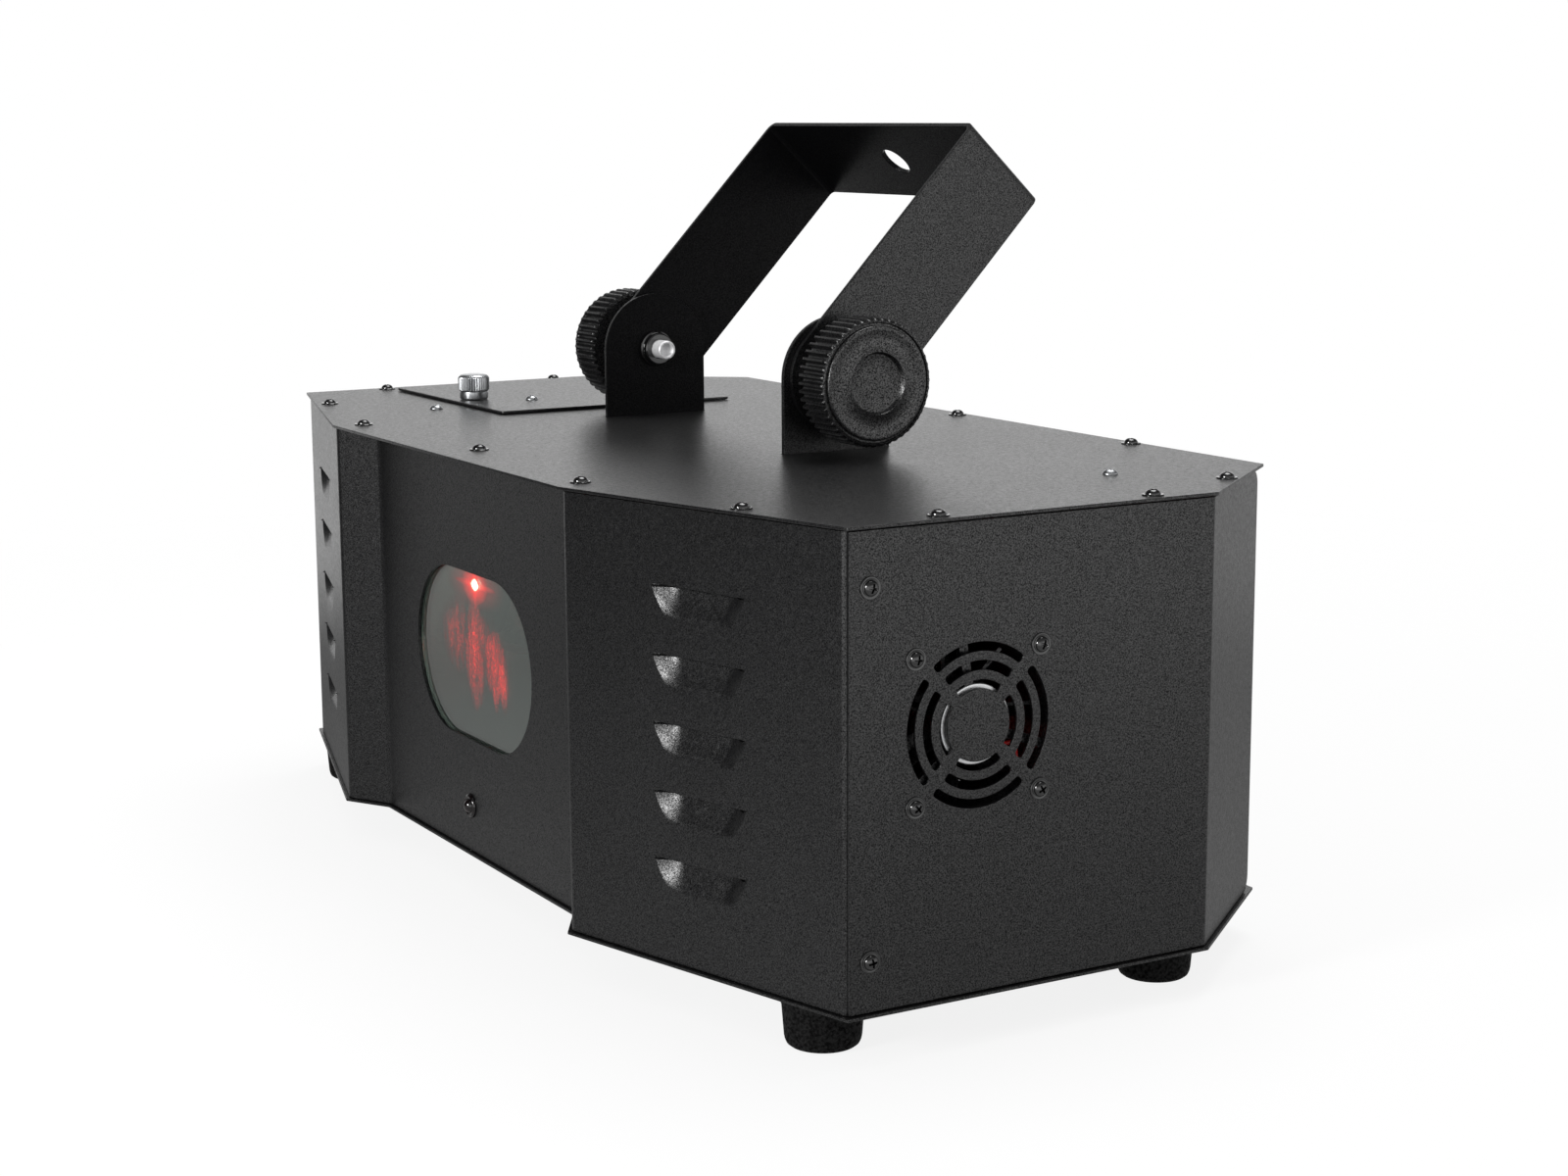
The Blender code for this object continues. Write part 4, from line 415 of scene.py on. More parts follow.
def circuit_board():
    """Green solder mask over copper: glossy, lighter where tracks of about a millimetre run under it."""
    material, tree, shader, place = blank("solder_mask")
    tracks = add(tree, "TexBrick", {
        "Vector": place, "Color1": (*rgb("1c5236"), 1), "Color2": (*rgb("123b26"), 1),
        "Mortar": (*rgb("2f7a50"), 1), "Scale": 260.0, "Mortar Size": 0.03})
    bump = add(tree, "Bump", {"Height": tracks.outputs["Fac"], "Strength": 0.3, "Distance": 0.00005})
    feed(tree, shader, {"Base Color": tracks.outputs["Color"], "Roughness": 0.28, "Normal": bump.outputs[0]})
    return material


# Red light behind the window. Each blob has its centre across and up from the glass's middle, its half width,
# its half height and its strength
BEAM_SHIFT = Vector((-0.003, 0, 0))
BEAM_BLOBS = (
    (-0.0075, 0.000, 0.0100, 0.024, 0.95), (0.0125, -0.001, 0.0115, 0.015, 1.35),
    (-0.001, 0.009, 0.012, 0.010, 0.4), (0.0120, -0.010, 0.0040, 0.011, 0.6),
    (0.0200, -0.009, 0.0042, 0.011, 0.7), (-0.025, 0.006, 0.017, 0.017, 0.45),
    (-0.008, 0.017, 0.008, 0.012, 0.10))
BEAM_GAIN = 8.5
BEAM_LIMIT = 7.5
WHITE_HOT = 16.0
# The hot point's place, and the half width, half height and strength of its core, halo, flares and haze
BEAM_POINT = (-0.0062, 0.0287)
POINT_PARTS = ((0.0038, 0.0027, 24.0), (0.0125, 0.0080, 6.5), (0.0210, 0.0016, 3.6), (0.0022, 0.0120, 3.2),
               (0.0300, 0.0110, 1.4))


def add_blob(tree, place, blob, total):
    """Add to a total a round or oval patch in the window's plane: its strength in its middle, nothing at its
    rim."""
    centre_x, centre_z, half_x, half_z, strength = blob
    local = add(tree, "Mapping", {"Vector": place, "Scale": (1 / half_x, 0.0, 1 / half_z),
                                  "Location": (-centre_x / half_x, 0.0, -centre_z / half_z)})
    patch = add(tree, "TexGradient", {"Vector": local.outputs[0]}, gradient_type="SPHERICAL")
    return add(tree, "Math", {0: patch.outputs["Fac"], 1: strength, 2: total},
               operation="MULTIPLY_ADD").outputs[0]


def beam():
    """Laser light caught by the optics and dust behind the window: one hot point, and grainy streaks."""
    material, tree, shader, place = blank("laser_light")
    low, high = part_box("lens_glass")
    middle = (low + high) / 2
    local = add(tree, "Mapping", {"Vector": place, "Location": BEAM_SHIFT - middle}).outputs[0]
    grains = add(tree, "TexVoronoi", {"Vector": local, "Scale": 900.0})
    grain = add(tree, "ValToRGB", {"Fac": grains.outputs["Distance"]}, ((0.15, 1.0), (0.6, 0.30)))
    upright = add(tree, "Mapping", {"Vector": local, "Scale": (300.0, 0.0, 70.0)})
    streak = add(tree, "TexNoise", {"Vector": upright.outputs[0], "Detail": 4.0, "Scale": 1.0,
                                    "Roughness": 0.6})
    streaks = add(tree, "ValToRGB", {"Fac": streak.outputs["Fac"]}, ((0.36, 0.12), (0.60, 1.15)))
    level = 0.0
    for *patch, strength in BEAM_BLOBS:
        level = add_blob(tree, local, (*patch, strength * BEAM_GAIN), level)
    level = add(tree, "Math", {0: level, 1: BEAM_LIMIT}, operation="MINIMUM")
    grainy = add(tree, "Math", {0: grain.outputs["Color"], 1: streaks.outputs["Color"]},
                 operation="MULTIPLY")
    total = add(tree, "Math", {0: level.outputs[0], 1: grainy.outputs[0]}, operation="MULTIPLY").outputs[0]
    for part in POINT_PARTS:
        total = add_blob(tree, local, (*BEAM_POINT, *part), total)
    tint = tuple(finishes().beam_colour)
    heat = add(tree, "MapRange", {"Value": total, "From Min": 0.0, "From Max": WHITE_HOT})
    colour = add(tree, "ValToRGB", {"Fac": heat.outputs[0]}, (
        (0.0, tint), (0.45, tint), (0.65, (1.0, 0.35, 0.2)), (1.0, (1.0, 0.95, 0.85))))
    alpha = add(tree, "Math", {0: total, 1: 1.0}, operation="MULTIPLY", use_clamp=True)
    feed(tree, shader, {
        "Base Color": (0, 0, 0, 1), "Roughness": 0.9, "Emission Color": colour.outputs["Color"],
        "Emission Strength": total, "Alpha": alpha.outputs[0]})
    return material


MAKERS = {maker.__name__: maker for maker in (
    powder_coat, painted_shade_coat, knob_plastic, fan_plastic, foot_rubber, zinc_steel, stud_zinc_painted_sheen, aluminium, hub,
    black_screw, window_glass, beam, lens_glass, receiver_lens, mirror, circuit_board, lead)}
# Each finish's material, once it is made
made = {}


def finish_of(name):
    """The material of a finish, made on its first use."""
    if name not in made:
        made[name] = MAKERS[name]()
    return made[name]


# Mesh helpers


def shifted(bm, *steps):
    """Put a bmesh through transforms, in order, and then from the housing's frame to the row's."""
    for matrix in (*steps, Matrix.Translation(ORIGIN)):
        bmesh.ops.transform(bm, matrix=matrix, verts=bm.verts)
    return bm


def object_from(name, bm):
    """Turn a bmesh into a linked object."""
    mesh = bpy.data.meshes.new(name)
    bm.to_mesh(mesh)
    bm.free()
    item = bpy.data.objects.new(name, mesh)
    bpy.context.scene.collection.objects.link(item)
    return item


def bake(item):
    """Apply a piece's modifiers."""
    graph = bpy.context.evaluated_depsgraph_get()
    mesh = bpy.data.meshes.new_from_object(item.evaluated_get(graph))
    item.modifiers.clear()
    old = item.data
    item.data = mesh
    mesh.name = old.name
    bpy.data.meshes.remove(old)


def cut(item, cutter):
    """Cut a piece with a cutter's bmesh."""
    tool = object_from("cutter", cutter)
    modifier = item.modifiers.new("Cut", "BOOLEAN")
    modifier.operation = "DIFFERENCE"
    modifier.solver = "EXACT"
    modifier.object = tool
    bake(item)
    bpy.data.objects.remove(tool, do_unlink=True)


def round_edges(item, width, angle=35.0):
    """Round a piece's sharp edges, and keep its flats flat in the shading."""
    modifier = item.modifiers.new("Edges", "BEVEL")
    modifier.width = width
    modifier.segments = 2
    modifier.limit_method = "ANGLE"
    modifier.angle_limit = radians(angle)
    modifier.miter_outer = "MITER_ARC"


def piece(item, material, body, *replaced, smooth=SMOOTH):
    """Finish a piece: its shading, material, body and the CAD nodes that it stands for."""
    if item.modifiers:
        bake(item)
    mesh = item.data
    mesh.materials.clear()
    mesh.materials.append(finish_of(material))
    mesh.shade_smooth()
    mesh.set_sharp_from_angle(angle=smooth)
    weighted = item.modifiers.new("Shading", "WEIGHTED_NORMAL")
    weighted.keep_sharp = True
    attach(item, body)
    if replaced:
        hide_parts(*replaced)
    return item


def stand_in(node, bm, material, body, **shading):
    """A new piece in a CAD node's place."""
    return piece(object_from(node + "_finished", bm), material, body, node, **shading)


def coated(item, body, node):
    """Finish a folded sheet: its cut edges are rounded a little under the coat."""
    round_edges(item, sizes().edge_round, 50)
    return piece(item, "powder_coat", body, node)


def refine(node, material, body, width):
    """A CAD node's own shape, its flat faces joined again and its edges rounded, in the node's place."""
    bm = bmesh.new()
    bm.from_mesh(NODES[node].data)
    bmesh.ops.remove_doubles(bm, verts=bm.verts, dist=MERGE)
    bmesh.ops.dissolve_limit(bm, angle_limit=radians(1.0), verts=bm.verts, edges=bm.edges)
    item = object_from(node + "_finished", bm)
    round_edges(item, width)
    return piece(item, material, body, node)


def spun(profile, steps, turn=Matrix.Identity(4), place=(0, 0, 0)):
    """A turned body from (radius, height) points, closed at its poles."""
    bm = bmesh.new()
    points = [bm.verts.new((radius, 0, height)) for radius, height in profile]
    edges = [bm.edges.new(pair) for pair in zip(points, points[1:])]
    bmesh.ops.spin(bm, geom=points + edges, cent=(0, 0, 0), axis=(0, 0, 1), angle=2 * pi, steps=steps,
                   use_merge=True)
    bmesh.ops.remove_doubles(bm, verts=bm.verts, dist=MERGE)
    bmesh.ops.recalc_face_normals(bm, faces=bm.faces)
    return shifted(bm, turn, Matrix.Translation(place))


def ribbed(rib, profile, count, depth):
    """A turned body with ribs all round. rib tells where points lie across one pitch, and how deep the groove
    is there. profile has each ring's radius, height and share of the groove."""
    bm = bmesh.new()
    columns, rows = len(rib) - 1, len(profile) - 1
    bmesh.ops.create_grid(bm, x_segments=columns, y_segments=rows, size=1)
    for vert in bm.verts:
        share, groove = rib[round((vert.co.x + 1) / 2 * columns)]
        radius, height, weight = profile[round((vert.co.y + 1) / 2 * rows)]
        radius -= depth * groove * weight
        angle = share * 2 * pi / count
        vert.co = (radius * cos(angle), radius * sin(angle), height)
    bmesh.ops.spin(bm, geom=bm.verts[:] + bm.edges[:] + bm.faces[:], cent=(0, 0, 0), axis=(0, 0, 1),
                   angle=2 * pi * (count - 1) / count, steps=count - 1, use_duplicate=True)
    bmesh.ops.remove_doubles(bm, verts=bm.verts, dist=0.000003)
    bmesh.ops.recalc_face_normals(bm, faces=bm.faces)
    return bm


def add_rod(bm, radius, length, centre, turn, segments=48):
    """Add a cylinder to a bmesh."""
    bmesh.ops.create_cone(bm, cap_ends=True, segments=segments, radius1=radius, radius2=radius, depth=length,
                          matrix=Matrix.Translation(centre) @ turn)


def arc(centre, radius, start, end, steps):
    """Points on an arc, from one angle to another."""
    angles = [start + (end - start) * i / steps for i in range(steps + 1)]
    return [(centre[0] + radius * cos(a), centre[1] + radius * sin(a)) for a in angles]


def points_of(extruded):
    """The points that an extrusion made."""
    return [v for v in extruded["geom"] if isinstance(v, bmesh.types.BMVert)]


def bevelled(bm, geom, offset, segments, affect="EDGES", **more):
    """Round some edges or corners of a bmesh."""
    bmesh.ops.bevel(bm, geom=geom, offset=offset, segments=segments, profile=0.5, affect=affect, material=-1,
                    **more)


def prism(points, thickness):
    """A flat outline raised to a body of some thickness, halfway to each side of its plane."""
    bm = bmesh.new()
    face = bm.faces.new([bm.verts.new((x, y, -thickness / 2)) for x, y in points])
    top = points_of(bmesh.ops.extrude_face_region(bm, geom=[face]))
    bmesh.ops.translate(bm, verts=top, vec=(0, 0, thickness))
    bmesh.ops.recalc_face_normals(bm, faces=bm.faces)
    return bm


def folded(points, across, fold, segments):
    """An open sheet: a path drawn out to one side, with its folds rounded."""
    bm = bmesh.new()
    row = [bm.verts.new(p) for p in points]
    edges = [bm.edges.new(pair) for pair in zip(row, row[1:])]
    bmesh.ops.translate(bm, verts=points_of(bmesh.ops.extrude_edge_only(bm, edges=edges)), vec=across)
    bevelled(bm, [e for e in bm.edges if len(e.link_faces) == 2], fold, segments)
    return bm


def wall(path, fold):
    """An upright sheet along a path in plan. Its faces are turned outward."""
    bm = folded([(x, y, WALL_BOTTOM) for x, y in path], (0, 0, WALL_TOP - WALL_BOTTOM), fold, 6)
    bmesh.ops.recalc_face_normals(bm, faces=bm.faces)
    middle = Vector((0, DEPTH / 2, BODY_HEIGHT / 2))
    widest = max(bm.faces, key=lambda f: f.calc_area())
    if widest.normal.dot(widest.calc_center_median() - middle) < 0:
        bmesh.ops.reverse_faces(bm, faces=bm.faces)
    return bm


def thicken(item, thickness):
    """Give an open sheet its thickness, inward from its outer face."""
    modifier = item.modifiers.new("Sheet", "SOLIDIFY")
    modifier.thickness = thickness
    modifier.offset = -1
    bake(item)


def drawn_in(points, distance):
    """Move every edge of a closed outline, listed anticlockwise, inward."""
    corners = [Vector(p) for p in points]
    result = []
    for i, here in enumerate(corners):
        before = (here - corners[i - 1]).normalized()
        after = (corners[(i + 1) % len(corners)] - here).normalized()
        first, second = Vector((-before.y, before.x)), Vector((-after.y, after.x))
        along = (first + second).normalized()
        result.append(here + along * (distance / along.dot(first)))
    return result


RIGHT_SIDE = [(FRONT_HALF, 0), (HALF_WIDTH, CORNER_SETBACK), (HALF_WIDTH, SIDE_REAR), (REAR_HALF, DEPTH)]
OUTLINE = [(-FRONT_HALF, 0), (-RECESS_HALF, RECESS_DEPTH), (RECESS_HALF, RECESS_DEPTH), *RIGHT_SIDE,
           *[(-x, y) for x, y in reversed(RIGHT_SIDE[1:])]]
RECESS_RIGHT, FRONT_RIGHT, SIDE_FRONT, SIDE_BACK, REAR_CORNER = drawn_in(OUTLINE, OVERHANG)[2:7]
SIDE_X = SIDE_FRONT.x
PANEL_Y = RECESS_RIGHT.y
FAN_FACE_X = SIDE_X - SHEET - GAP


# Pressed louvres


def slice_faces(bm, faces, point, normal):
    """Cut some faces along a plane."""
    geom = set(faces)
    for face in faces:
        geom.update(face.edges)
        geom.update(face.verts)
    bmesh.ops.bisect_plane(bm, geom=list(geom), dist=0.0000005, plane_co=point, plane_no=normal)


def press_louvres(bm, start, along):
    """Grid one louvred corner, slit it at each louvre's top and press the metal below inward."""
    inward = Vector((-along.y, along.x)) if along.x > 0 else Vector((along.y, -along.x))
    end = LOUVRE_START + LOUVRE_LENGTH
    tops = [LOUVRE_TOP - louvre * LOUVRE_PITCH for louvre in range(LOUVRE_COUNT)]

    def on_corner(vert):
        return abs((vert.co.xy - start).dot(inward)) < ON_PLANE

    def within(vert):
        return on_corner(vert) and LOUVRE_START - SLACK < (vert.co.xy - start).dot(along) < end + SLACK

    def slice_corner(point, normal):
        slice_faces(bm, [f for f in bm.faces if all(on_corner(v) for v in f.verts)], point, normal)

    for step in range(LOUVRE_COLUMNS + 1):
        share = (1 - cos(pi * step / LOUVRE_COLUMNS)) / 2
        slice_corner((*(start + along * (LOUVRE_START + LOUVRE_LENGTH * share)), 0), (*along, 0))
    for top in tops:
        for step in range(LOUVRE_ROWS + 1):
            drop = LOUVRE_HEIGHT * (1 - cos(pi / 2 * step / LOUVRE_ROWS))
            slice_corner((0, 0, top - drop), (0, 0, 1))
    for top in tops:
        slit = [e for e in bm.edges if all(within(v) and abs(v.co.z - top) < SLACK for v in e.verts)]
        bmesh.ops.split_edges(bm, edges=slit)
        pressed = {v for f in bm.faces if top - LOUVRE_HEIGHT < f.calc_center_median().z < top
                   and all(within(v) for v in f.verts) for v in f.verts}
        for vert in pressed:
            press(vert, (vert.co.xy - start).dot(along), top, along, inward)


def press(vert, station, top, along, inward):
    """Move one point of a louvre: its outline narrows downward, and it is deepest at the slit. The ends rise
    in a straight ramp that eases into the middle."""
    down = max(0.0, min(1.0, (top - vert.co.z) / LOUVRE_HEIGHT))
    across = (station - LOUVRE_START) / LOUVRE_LENGTH
    inset = LOUVRE_INSET * down ** 1.5
    moved = LOUVRE_START + inset + across * (LOUVRE_LENGTH - 2 * inset)
    up_ramp = min(1.0, min(across, 1 - across) / LOUVRE_ROUND)
    rise = (up_ramp - max(0.0, up_ramp - 0.8) ** 2 / 0.8) / 0.95
    depth = sizes().louvre_depth * rise * (1 - down ** 1.4)
    vert.co.xy += along * (moved - station) + inward * depth
    if down < 0.0001 and 0.001 < across < 0.999:
        vert.co.z -= SLIT_KERF


def window_outline(grow=0.0):
    """An obround: two half circles joined by straight edges, grown outward by a distance."""
    right = arc((WINDOW_REACH - WINDOW_HALF_HEIGHT, 0), WINDOW_HALF_HEIGHT + grow, -pi / 2, pi / 2, 48)
    return right + [(-x, -y) for x, y in right]


# Operators, one for each piece or group of like pieces


class EFFECT_OT_front_shell(bpy.types.Operator):
    """Fold the front sheet, press its louvres and cut its window"""
    bl_idname = "effect_light.front_shell"
    bl_label = "Front shell"

    def execute(self, context):
        inner_x = SIDE_X - SHEET - GAP
        lean = (SIDE_FRONT.y - FRONT_RIGHT.y) / (SIDE_FRONT.x - FRONT_RIGHT.x)
        fold = Vector((inner_x, SIDE_FRONT.y - (SIDE_X - inner_x) * lean))
        right = [RECESS_RIGHT, FRONT_RIGHT, fold, fold + Vector((0, FLANGE))]
        bm = wall([(-p.x, p.y) for p in reversed(right)] + [tuple(p) for p in right], 0.0016)
        along = (fold - FRONT_RIGHT).normalized()
        press_louvres(bm, FRONT_RIGHT, along)
        press_louvres(bm, Vector((-FRONT_RIGHT.x, FRONT_RIGHT.y)), Vector((-along.x, along.y)))
        item = object_from("front_shell_finished", shifted(bm))
        thicken(item, SHEET)
        cut(item, shifted(prism(window_outline(), 0.01), UPRIGHT,
                          Matrix.Translation((0, PANEL_Y, WINDOW_HEIGHT))))
        bm = bmesh.new()
        x, z = RECEIVER_PLACE
        add_rod(bm, RECEIVER_HOLE, 0.01, (x, PANEL_Y, z), Y_TURN)
        for side, _ in SIDES:
            for height in SIDE_SCREW_HEIGHTS:
                add_rod(bm, SCREW_HOLE, 0.008, (side * SIDE_X, SIDE_SCREW_Y, height), X_TURN, 16)
        cut(item, shifted(bm))
        coated(item, "housing", "front_shell")
        return {"FINISHED"}


def slot_cutter(inner, outer, start, end):
    """One curved slot of the grille with rounded corners, as a cutter's mesh."""
    points = arc((0, 0), outer, start, end, 24) + arc((0, 0), inner, end, start, 24)
    bm = prism(points, 0.006)
    ends = [points[0], points[24], points[25], points[-1]]
    edges = [e for e in bm.edges if abs(e.verts[0].co.z - e.verts[1].co.z) > 0.001
             and any((e.verts[0].co.xy - Vector(p)).length < ON_PLANE for p in ends)]
    bevelled(bm, edges, (outer - inner) * 0.36, 4, clamp_overlap=True)
    mesh = bpy.data.meshes.new("slot")
    bm.to_mesh(mesh)
    bm.free()
    return mesh


def fan_screws():
    """The fan's four screw places."""
    return [(FAN_PLACE[0] + a * FAN_HOLE, FAN_PLACE[1] + b * FAN_HOLE) for a in (-1, 1) for b in (-1, 1)]


class EFFECT_OT_side_panels(bpy.types.Operator):
    """Fold both sides, and cut the fan's grille in the right one"""
    bl_idname = "effect_light.side_panels"
    bl_label = "Side panels"

    def execute(self, context):
        refine("side_panel_left", "powder_coat", "housing", sizes().edge_round)
        share = (REAR_Y - SIDE_BACK.y) / (REAR_CORNER.y - SIDE_BACK.y)
        rear = tuple(SIDE_BACK.lerp(REAR_CORNER, share))
        bm = wall([(SIDE_X, SIDE_FRONT.y + GAP), tuple(SIDE_BACK), rear], 0.0008)
        bevelled(bm, [v for v in bm.verts if abs(v.co.y - REAR_Y) < ON_PLANE], 0.006, 6, "VERTICES")
        item = object_from("side_panel_right_finished", shifted(bm))
        thicken(item, SHEET)
        holes = bmesh.new()
        for inner, outer in GRILLE_RINGS:
            margin = GRILLE_SPOKE / 2 / ((inner + outer) / 2)
            for quarter in range(4):
                start = pi / 4 + quarter * pi / 2
                mesh = slot_cutter(inner, outer, start + margin, start + pi / 2 - margin)
                holes.from_mesh(mesh)
                bpy.data.meshes.remove(mesh)
        turn = Matrix(((0, 0, 1, 0), (1, 0, 0, 0), (0, 1, 0, 0), (0, 0, 0, 1)))
        bmesh.ops.transform(holes, matrix=Matrix.Translation((SIDE_X, *FAN_PLACE)) @ turn, verts=holes.verts)
        for y, z in (*fan_screws(), *[(SIDE_SCREW_Y, height) for height in SIDE_SCREW_HEIGHTS]):
            add_rod(holes, SCREW_HOLE, 0.006, (SIDE_X, y, z), X_TURN, 20)
        bmesh.ops.recalc_face_normals(holes, faces=holes.faces)
        cut(item, shifted(holes))
        coated(item, "housing", "side_panel_right")
        return {"FINISHED"}


class EFFECT_OT_plates(bpy.types.Operator):
    """Finish the cover, the base, the rear panel and the hatch"""
    bl_idname = "effect_light.plates"
    bl_label = "Cover, base, rear and hatch"

    def execute(self, context):
        for node, body in (("top_cover", "housing"), ("base_plate", "housing"), ("rear_panel", "housing"),
                           ("hatch_cover", "hatch")):
            refine(node, "powder_coat", body, sizes().edge_round)
        return {"FINISHED"}


def strip(name, path, width, is_tip, fold, thickness, place):
    """A strip folded along a path in X and Z, with its tips rounded in full."""
    bm = folded([(x, -width / 2, z) for x, z in path], (0, width, 0), fold, 8)
    bevelled(bm, [v for v in bm.verts if is_tip(v.co)], width / 2 - SLACK, 24, "VERTICES")
    bmesh.ops.recalc_face_normals(bm, faces=bm.faces)
    outer = max(bm.faces, key=lambda f: abs(f.calc_center_median().x) + f.calc_area())
    if outer.normal.x * outer.calc_center_median().x < 0:
        bmesh.ops.reverse_faces(bm, faces=bm.faces)
    item = object_from(name, bm)
    thicken(item, thickness)
    item.data.transform(Matrix.Translation(ORIGIN) @ place)
    return item


def paint_shade_inside(item, under):
    """Give the coat's painted-shade copy, with nearly no gloss, to the faces that look to the middle plane
    and to those that look under the bar, where the other parts shade them.
    """
    item.data.materials.append(finish_of("painted_shade_coat"))
    for face in item.data.polygons:
        inward = -face.normal.x if face.center.x > 0 else face.normal.x
        if inward > 0.7 or face.normal.dot(under) > 0.7:
            face.material_index = 1


class EFFECT_OT_yoke(bpy.types.Operator):
    """Fold the yoke and its two brackets"""
    bl_idname = "effect_light.yoke"
    bl_label = "Yoke and brackets"

    def execute(self, context):
        low = -YOKE_WIDTH / 2
        path = [(YOKE_OUTER, low), (YOKE_OUTER, YOKE_REACH), (-YOKE_OUTER, YOKE_REACH), (-YOKE_OUTER, low)]
        place = Matrix.Translation((0, AXIS_Y, AXIS_HEIGHT)) @ Matrix.Rotation(-TILT, 4, "X")
        item = strip("yoke_finished", path, YOKE_WIDTH, lambda co: co.z < low + 0.001, 0.0040, YOKE_SHEET,
                     place)
        bm = bmesh.new()
        add_rod(bm, STUD_HOLE / 2, 0.3, (0, 0, 0), X_TURN)
        add_rod(bm, YOKE_HOLE / 2, 0.01, (0, 0, YOKE_REACH), Matrix.Identity(4), 64)
        cut(item, shifted(bm, place))
        coated(item, "yoke", "yoke")
        # Painted shade on the yoke's inner faces and under its bar.
        paint_shade_inside(item, place.to_3x3() @ Vector((0, 0, -1)))
        outer = YOKE_OUTER - YOKE_SHEET - GAP
        foot = BODY_HEIGHT - SHEET - GAP - BRACKET_SHEET
        top = AXIS_HEIGHT + BRACKET_WIDTH / 2
        for side, word in SIDES:
            path = [(side * (outer - BRACKET_FOOT), foot), (side * outer, foot), (side * outer, top)]
            item = strip("bracket_%s_finished" % word, path, BRACKET_WIDTH, lambda co: co.z > top - 0.001,
                         0.0024, BRACKET_SHEET, Matrix.Translation((0, AXIS_Y, 0)))
            bm = bmesh.new()
            add_rod(bm, STUD_HOLE / 2, 0.01, (side * outer, AXIS_Y, AXIS_HEIGHT), X_TURN)
            cut(item, shifted(bm))
            coated(item, "housing", "bracket_" + word)
            # Painted shade on the bracket's inner faces and underside.
            paint_shade_inside(item, Vector((0, 0, -1)))
        return {"FINISHED"}


# One rib of a knob: where its points lie across its pitch, and how deep the groove is there
RIB = ((0.0, 0.0), (0.13, 0.0), (0.19, 0.25), (0.25, 0.70), (0.32, 0.95), (0.42, 1.0), (0.5, 1.0),
       (0.58, 1.0), (0.68, 0.95), (0.75, 0.70), (0.81, 0.25), (0.87, 0.0), (1.0, 0.0))
# The knob's profile from the middle of its face round to its bore, in millimetres: radius, depth under the
# face or height over the back, and share of the groove
KNOB_TOP = KNOB_FACE - YOKE_OUTER
KNOB_LOW = KNOB_BACK - YOKE_OUTER
KNOB_FRONT = (
    (0, 2.3, 0), (6, 2.3, 0), (11, 2.2, 0), (11.4, 1.8, 0), (11.6, 0.5, 0), (12, 0.1, 0), (13.5, 0.5, 0),
    (15.8, 1, 0), (18, 0.9, 0), (20, 0.4, 0), (21.2, 0.2, 0), (21.7, 0.4, 0), (21.9, 0.9, 0), (22, 1.8, 0),
    (22.7, 1.8, 0), (22.8, 1.2, 0), (23.1, 1, 0), (23.7, 1.2, 0), (24.2, 1.7, 0.25), (24.5, 2.4, 0.65),
    (24.7, 3.3, 1), (24.7, 10, 1))
KNOB_REAR = (
    (24.7, 1, 1), (24.5, 0.3, 1), (24, 0, 0.9), (22.6, 0, 0), (17.8, 0, 0), (17.5, 1, 0), (15, 1.2, 0),
    (13.8, 0.2, 0), (12.6, -5, 0))


class EFFECT_OT_clamp_knobs(bpy.types.Operator):
    """Mould the two clamp knobs"""
    bl_idname = "effect_light.clamp_knobs"
    bl_label = "Clamp knobs"

    def execute(self, context):
        profile = [(r / 1000, KNOB_TOP - depth / 1000, share) for r, depth, share in KNOB_FRONT]
        profile += [(r / 1000, KNOB_LOW + height / 1000, share) for r, height, share in KNOB_REAR]
        profile += [(0.0115, GAP, 0), (0.0043, GAP, 0), (0.0043, KNOB_TOP - 0.0060, 0),
                    (0.0, KNOB_TOP - 0.0060, 0)]
        for side, word in SIDES:
            bm = ribbed(RIB, profile, sizes().knob_ribs, sizes().groove_depth)
            shifted(bm, Matrix.Translation((side * YOKE_OUTER, AXIS_Y, AXIS_HEIGHT)) @ OUTWARD[side])
            name = "clamp_knob_" + word
            stand_in(name, bm, "knob_plastic", name, smooth=radians(50))
        return {"FINISHED"}


class EFFECT_OT_clamp_studs(bpy.types.Operator):
    """Turn the threaded studs and their flanged nuts"""
    bl_idname = "effect_light.clamp_studs"
    bl_label = "Clamp studs and nuts"

    def execute(self, context):
        length = KNOB_FACE - KNOB_WELL - STUD_INNER_END
        stud = [(0, 0.0020), (0.0014, 0.0018), (0.0024, 0.0012), (0.0028, 0.0003), (0.0030, 0),
                (STUD_RADIUS - 0.0004, 0), (STUD_RADIUS, 0.0004), (STUD_RADIUS, 0.0078)]
        height = 0.0081
        while height < length - STUD_PITCH:
            stud += [(STUD_CORE, height), (STUD_RADIUS, height + STUD_PITCH * 0.42),
                     (STUD_RADIUS, height + STUD_PITCH * 0.55)]
            height += STUD_PITCH
        stud += [(STUD_CORE, length), (0, length)]
        nut = [(0.0043, 0.0040), (0.0062, 0.0040), (0.0067, 0.0036), (0.0068, 0.0016), (0.0070, 0.0012),
               (0.0076, 0.0010), (0.00775, 0.0007), (0.00775, 0), (0.0043, 0), (0.0043, 0.0040)]
        face = YOKE_OUTER - YOKE_SHEET - 2 * GAP - BRACKET_SHEET
        for side, word in SIDES:
            body = spun(stud, 40, OUTWARD[side], (side * STUD_INNER_END, AXIS_Y, AXIS_HEIGHT))
            # The stud's pale finish is a painted sheen.
            stand_in("clamp_stud_" + word, body, "stud_zinc_painted_sheen", "clamp_knob_" + word)
            body = spun(nut, 40, OUTWARD[-side], (side * face, AXIS_Y, AXIS_HEIGHT))
            stand_in("clamp_nut_" + word, body, "black_screw", "housing")
        return {"FINISHED"}


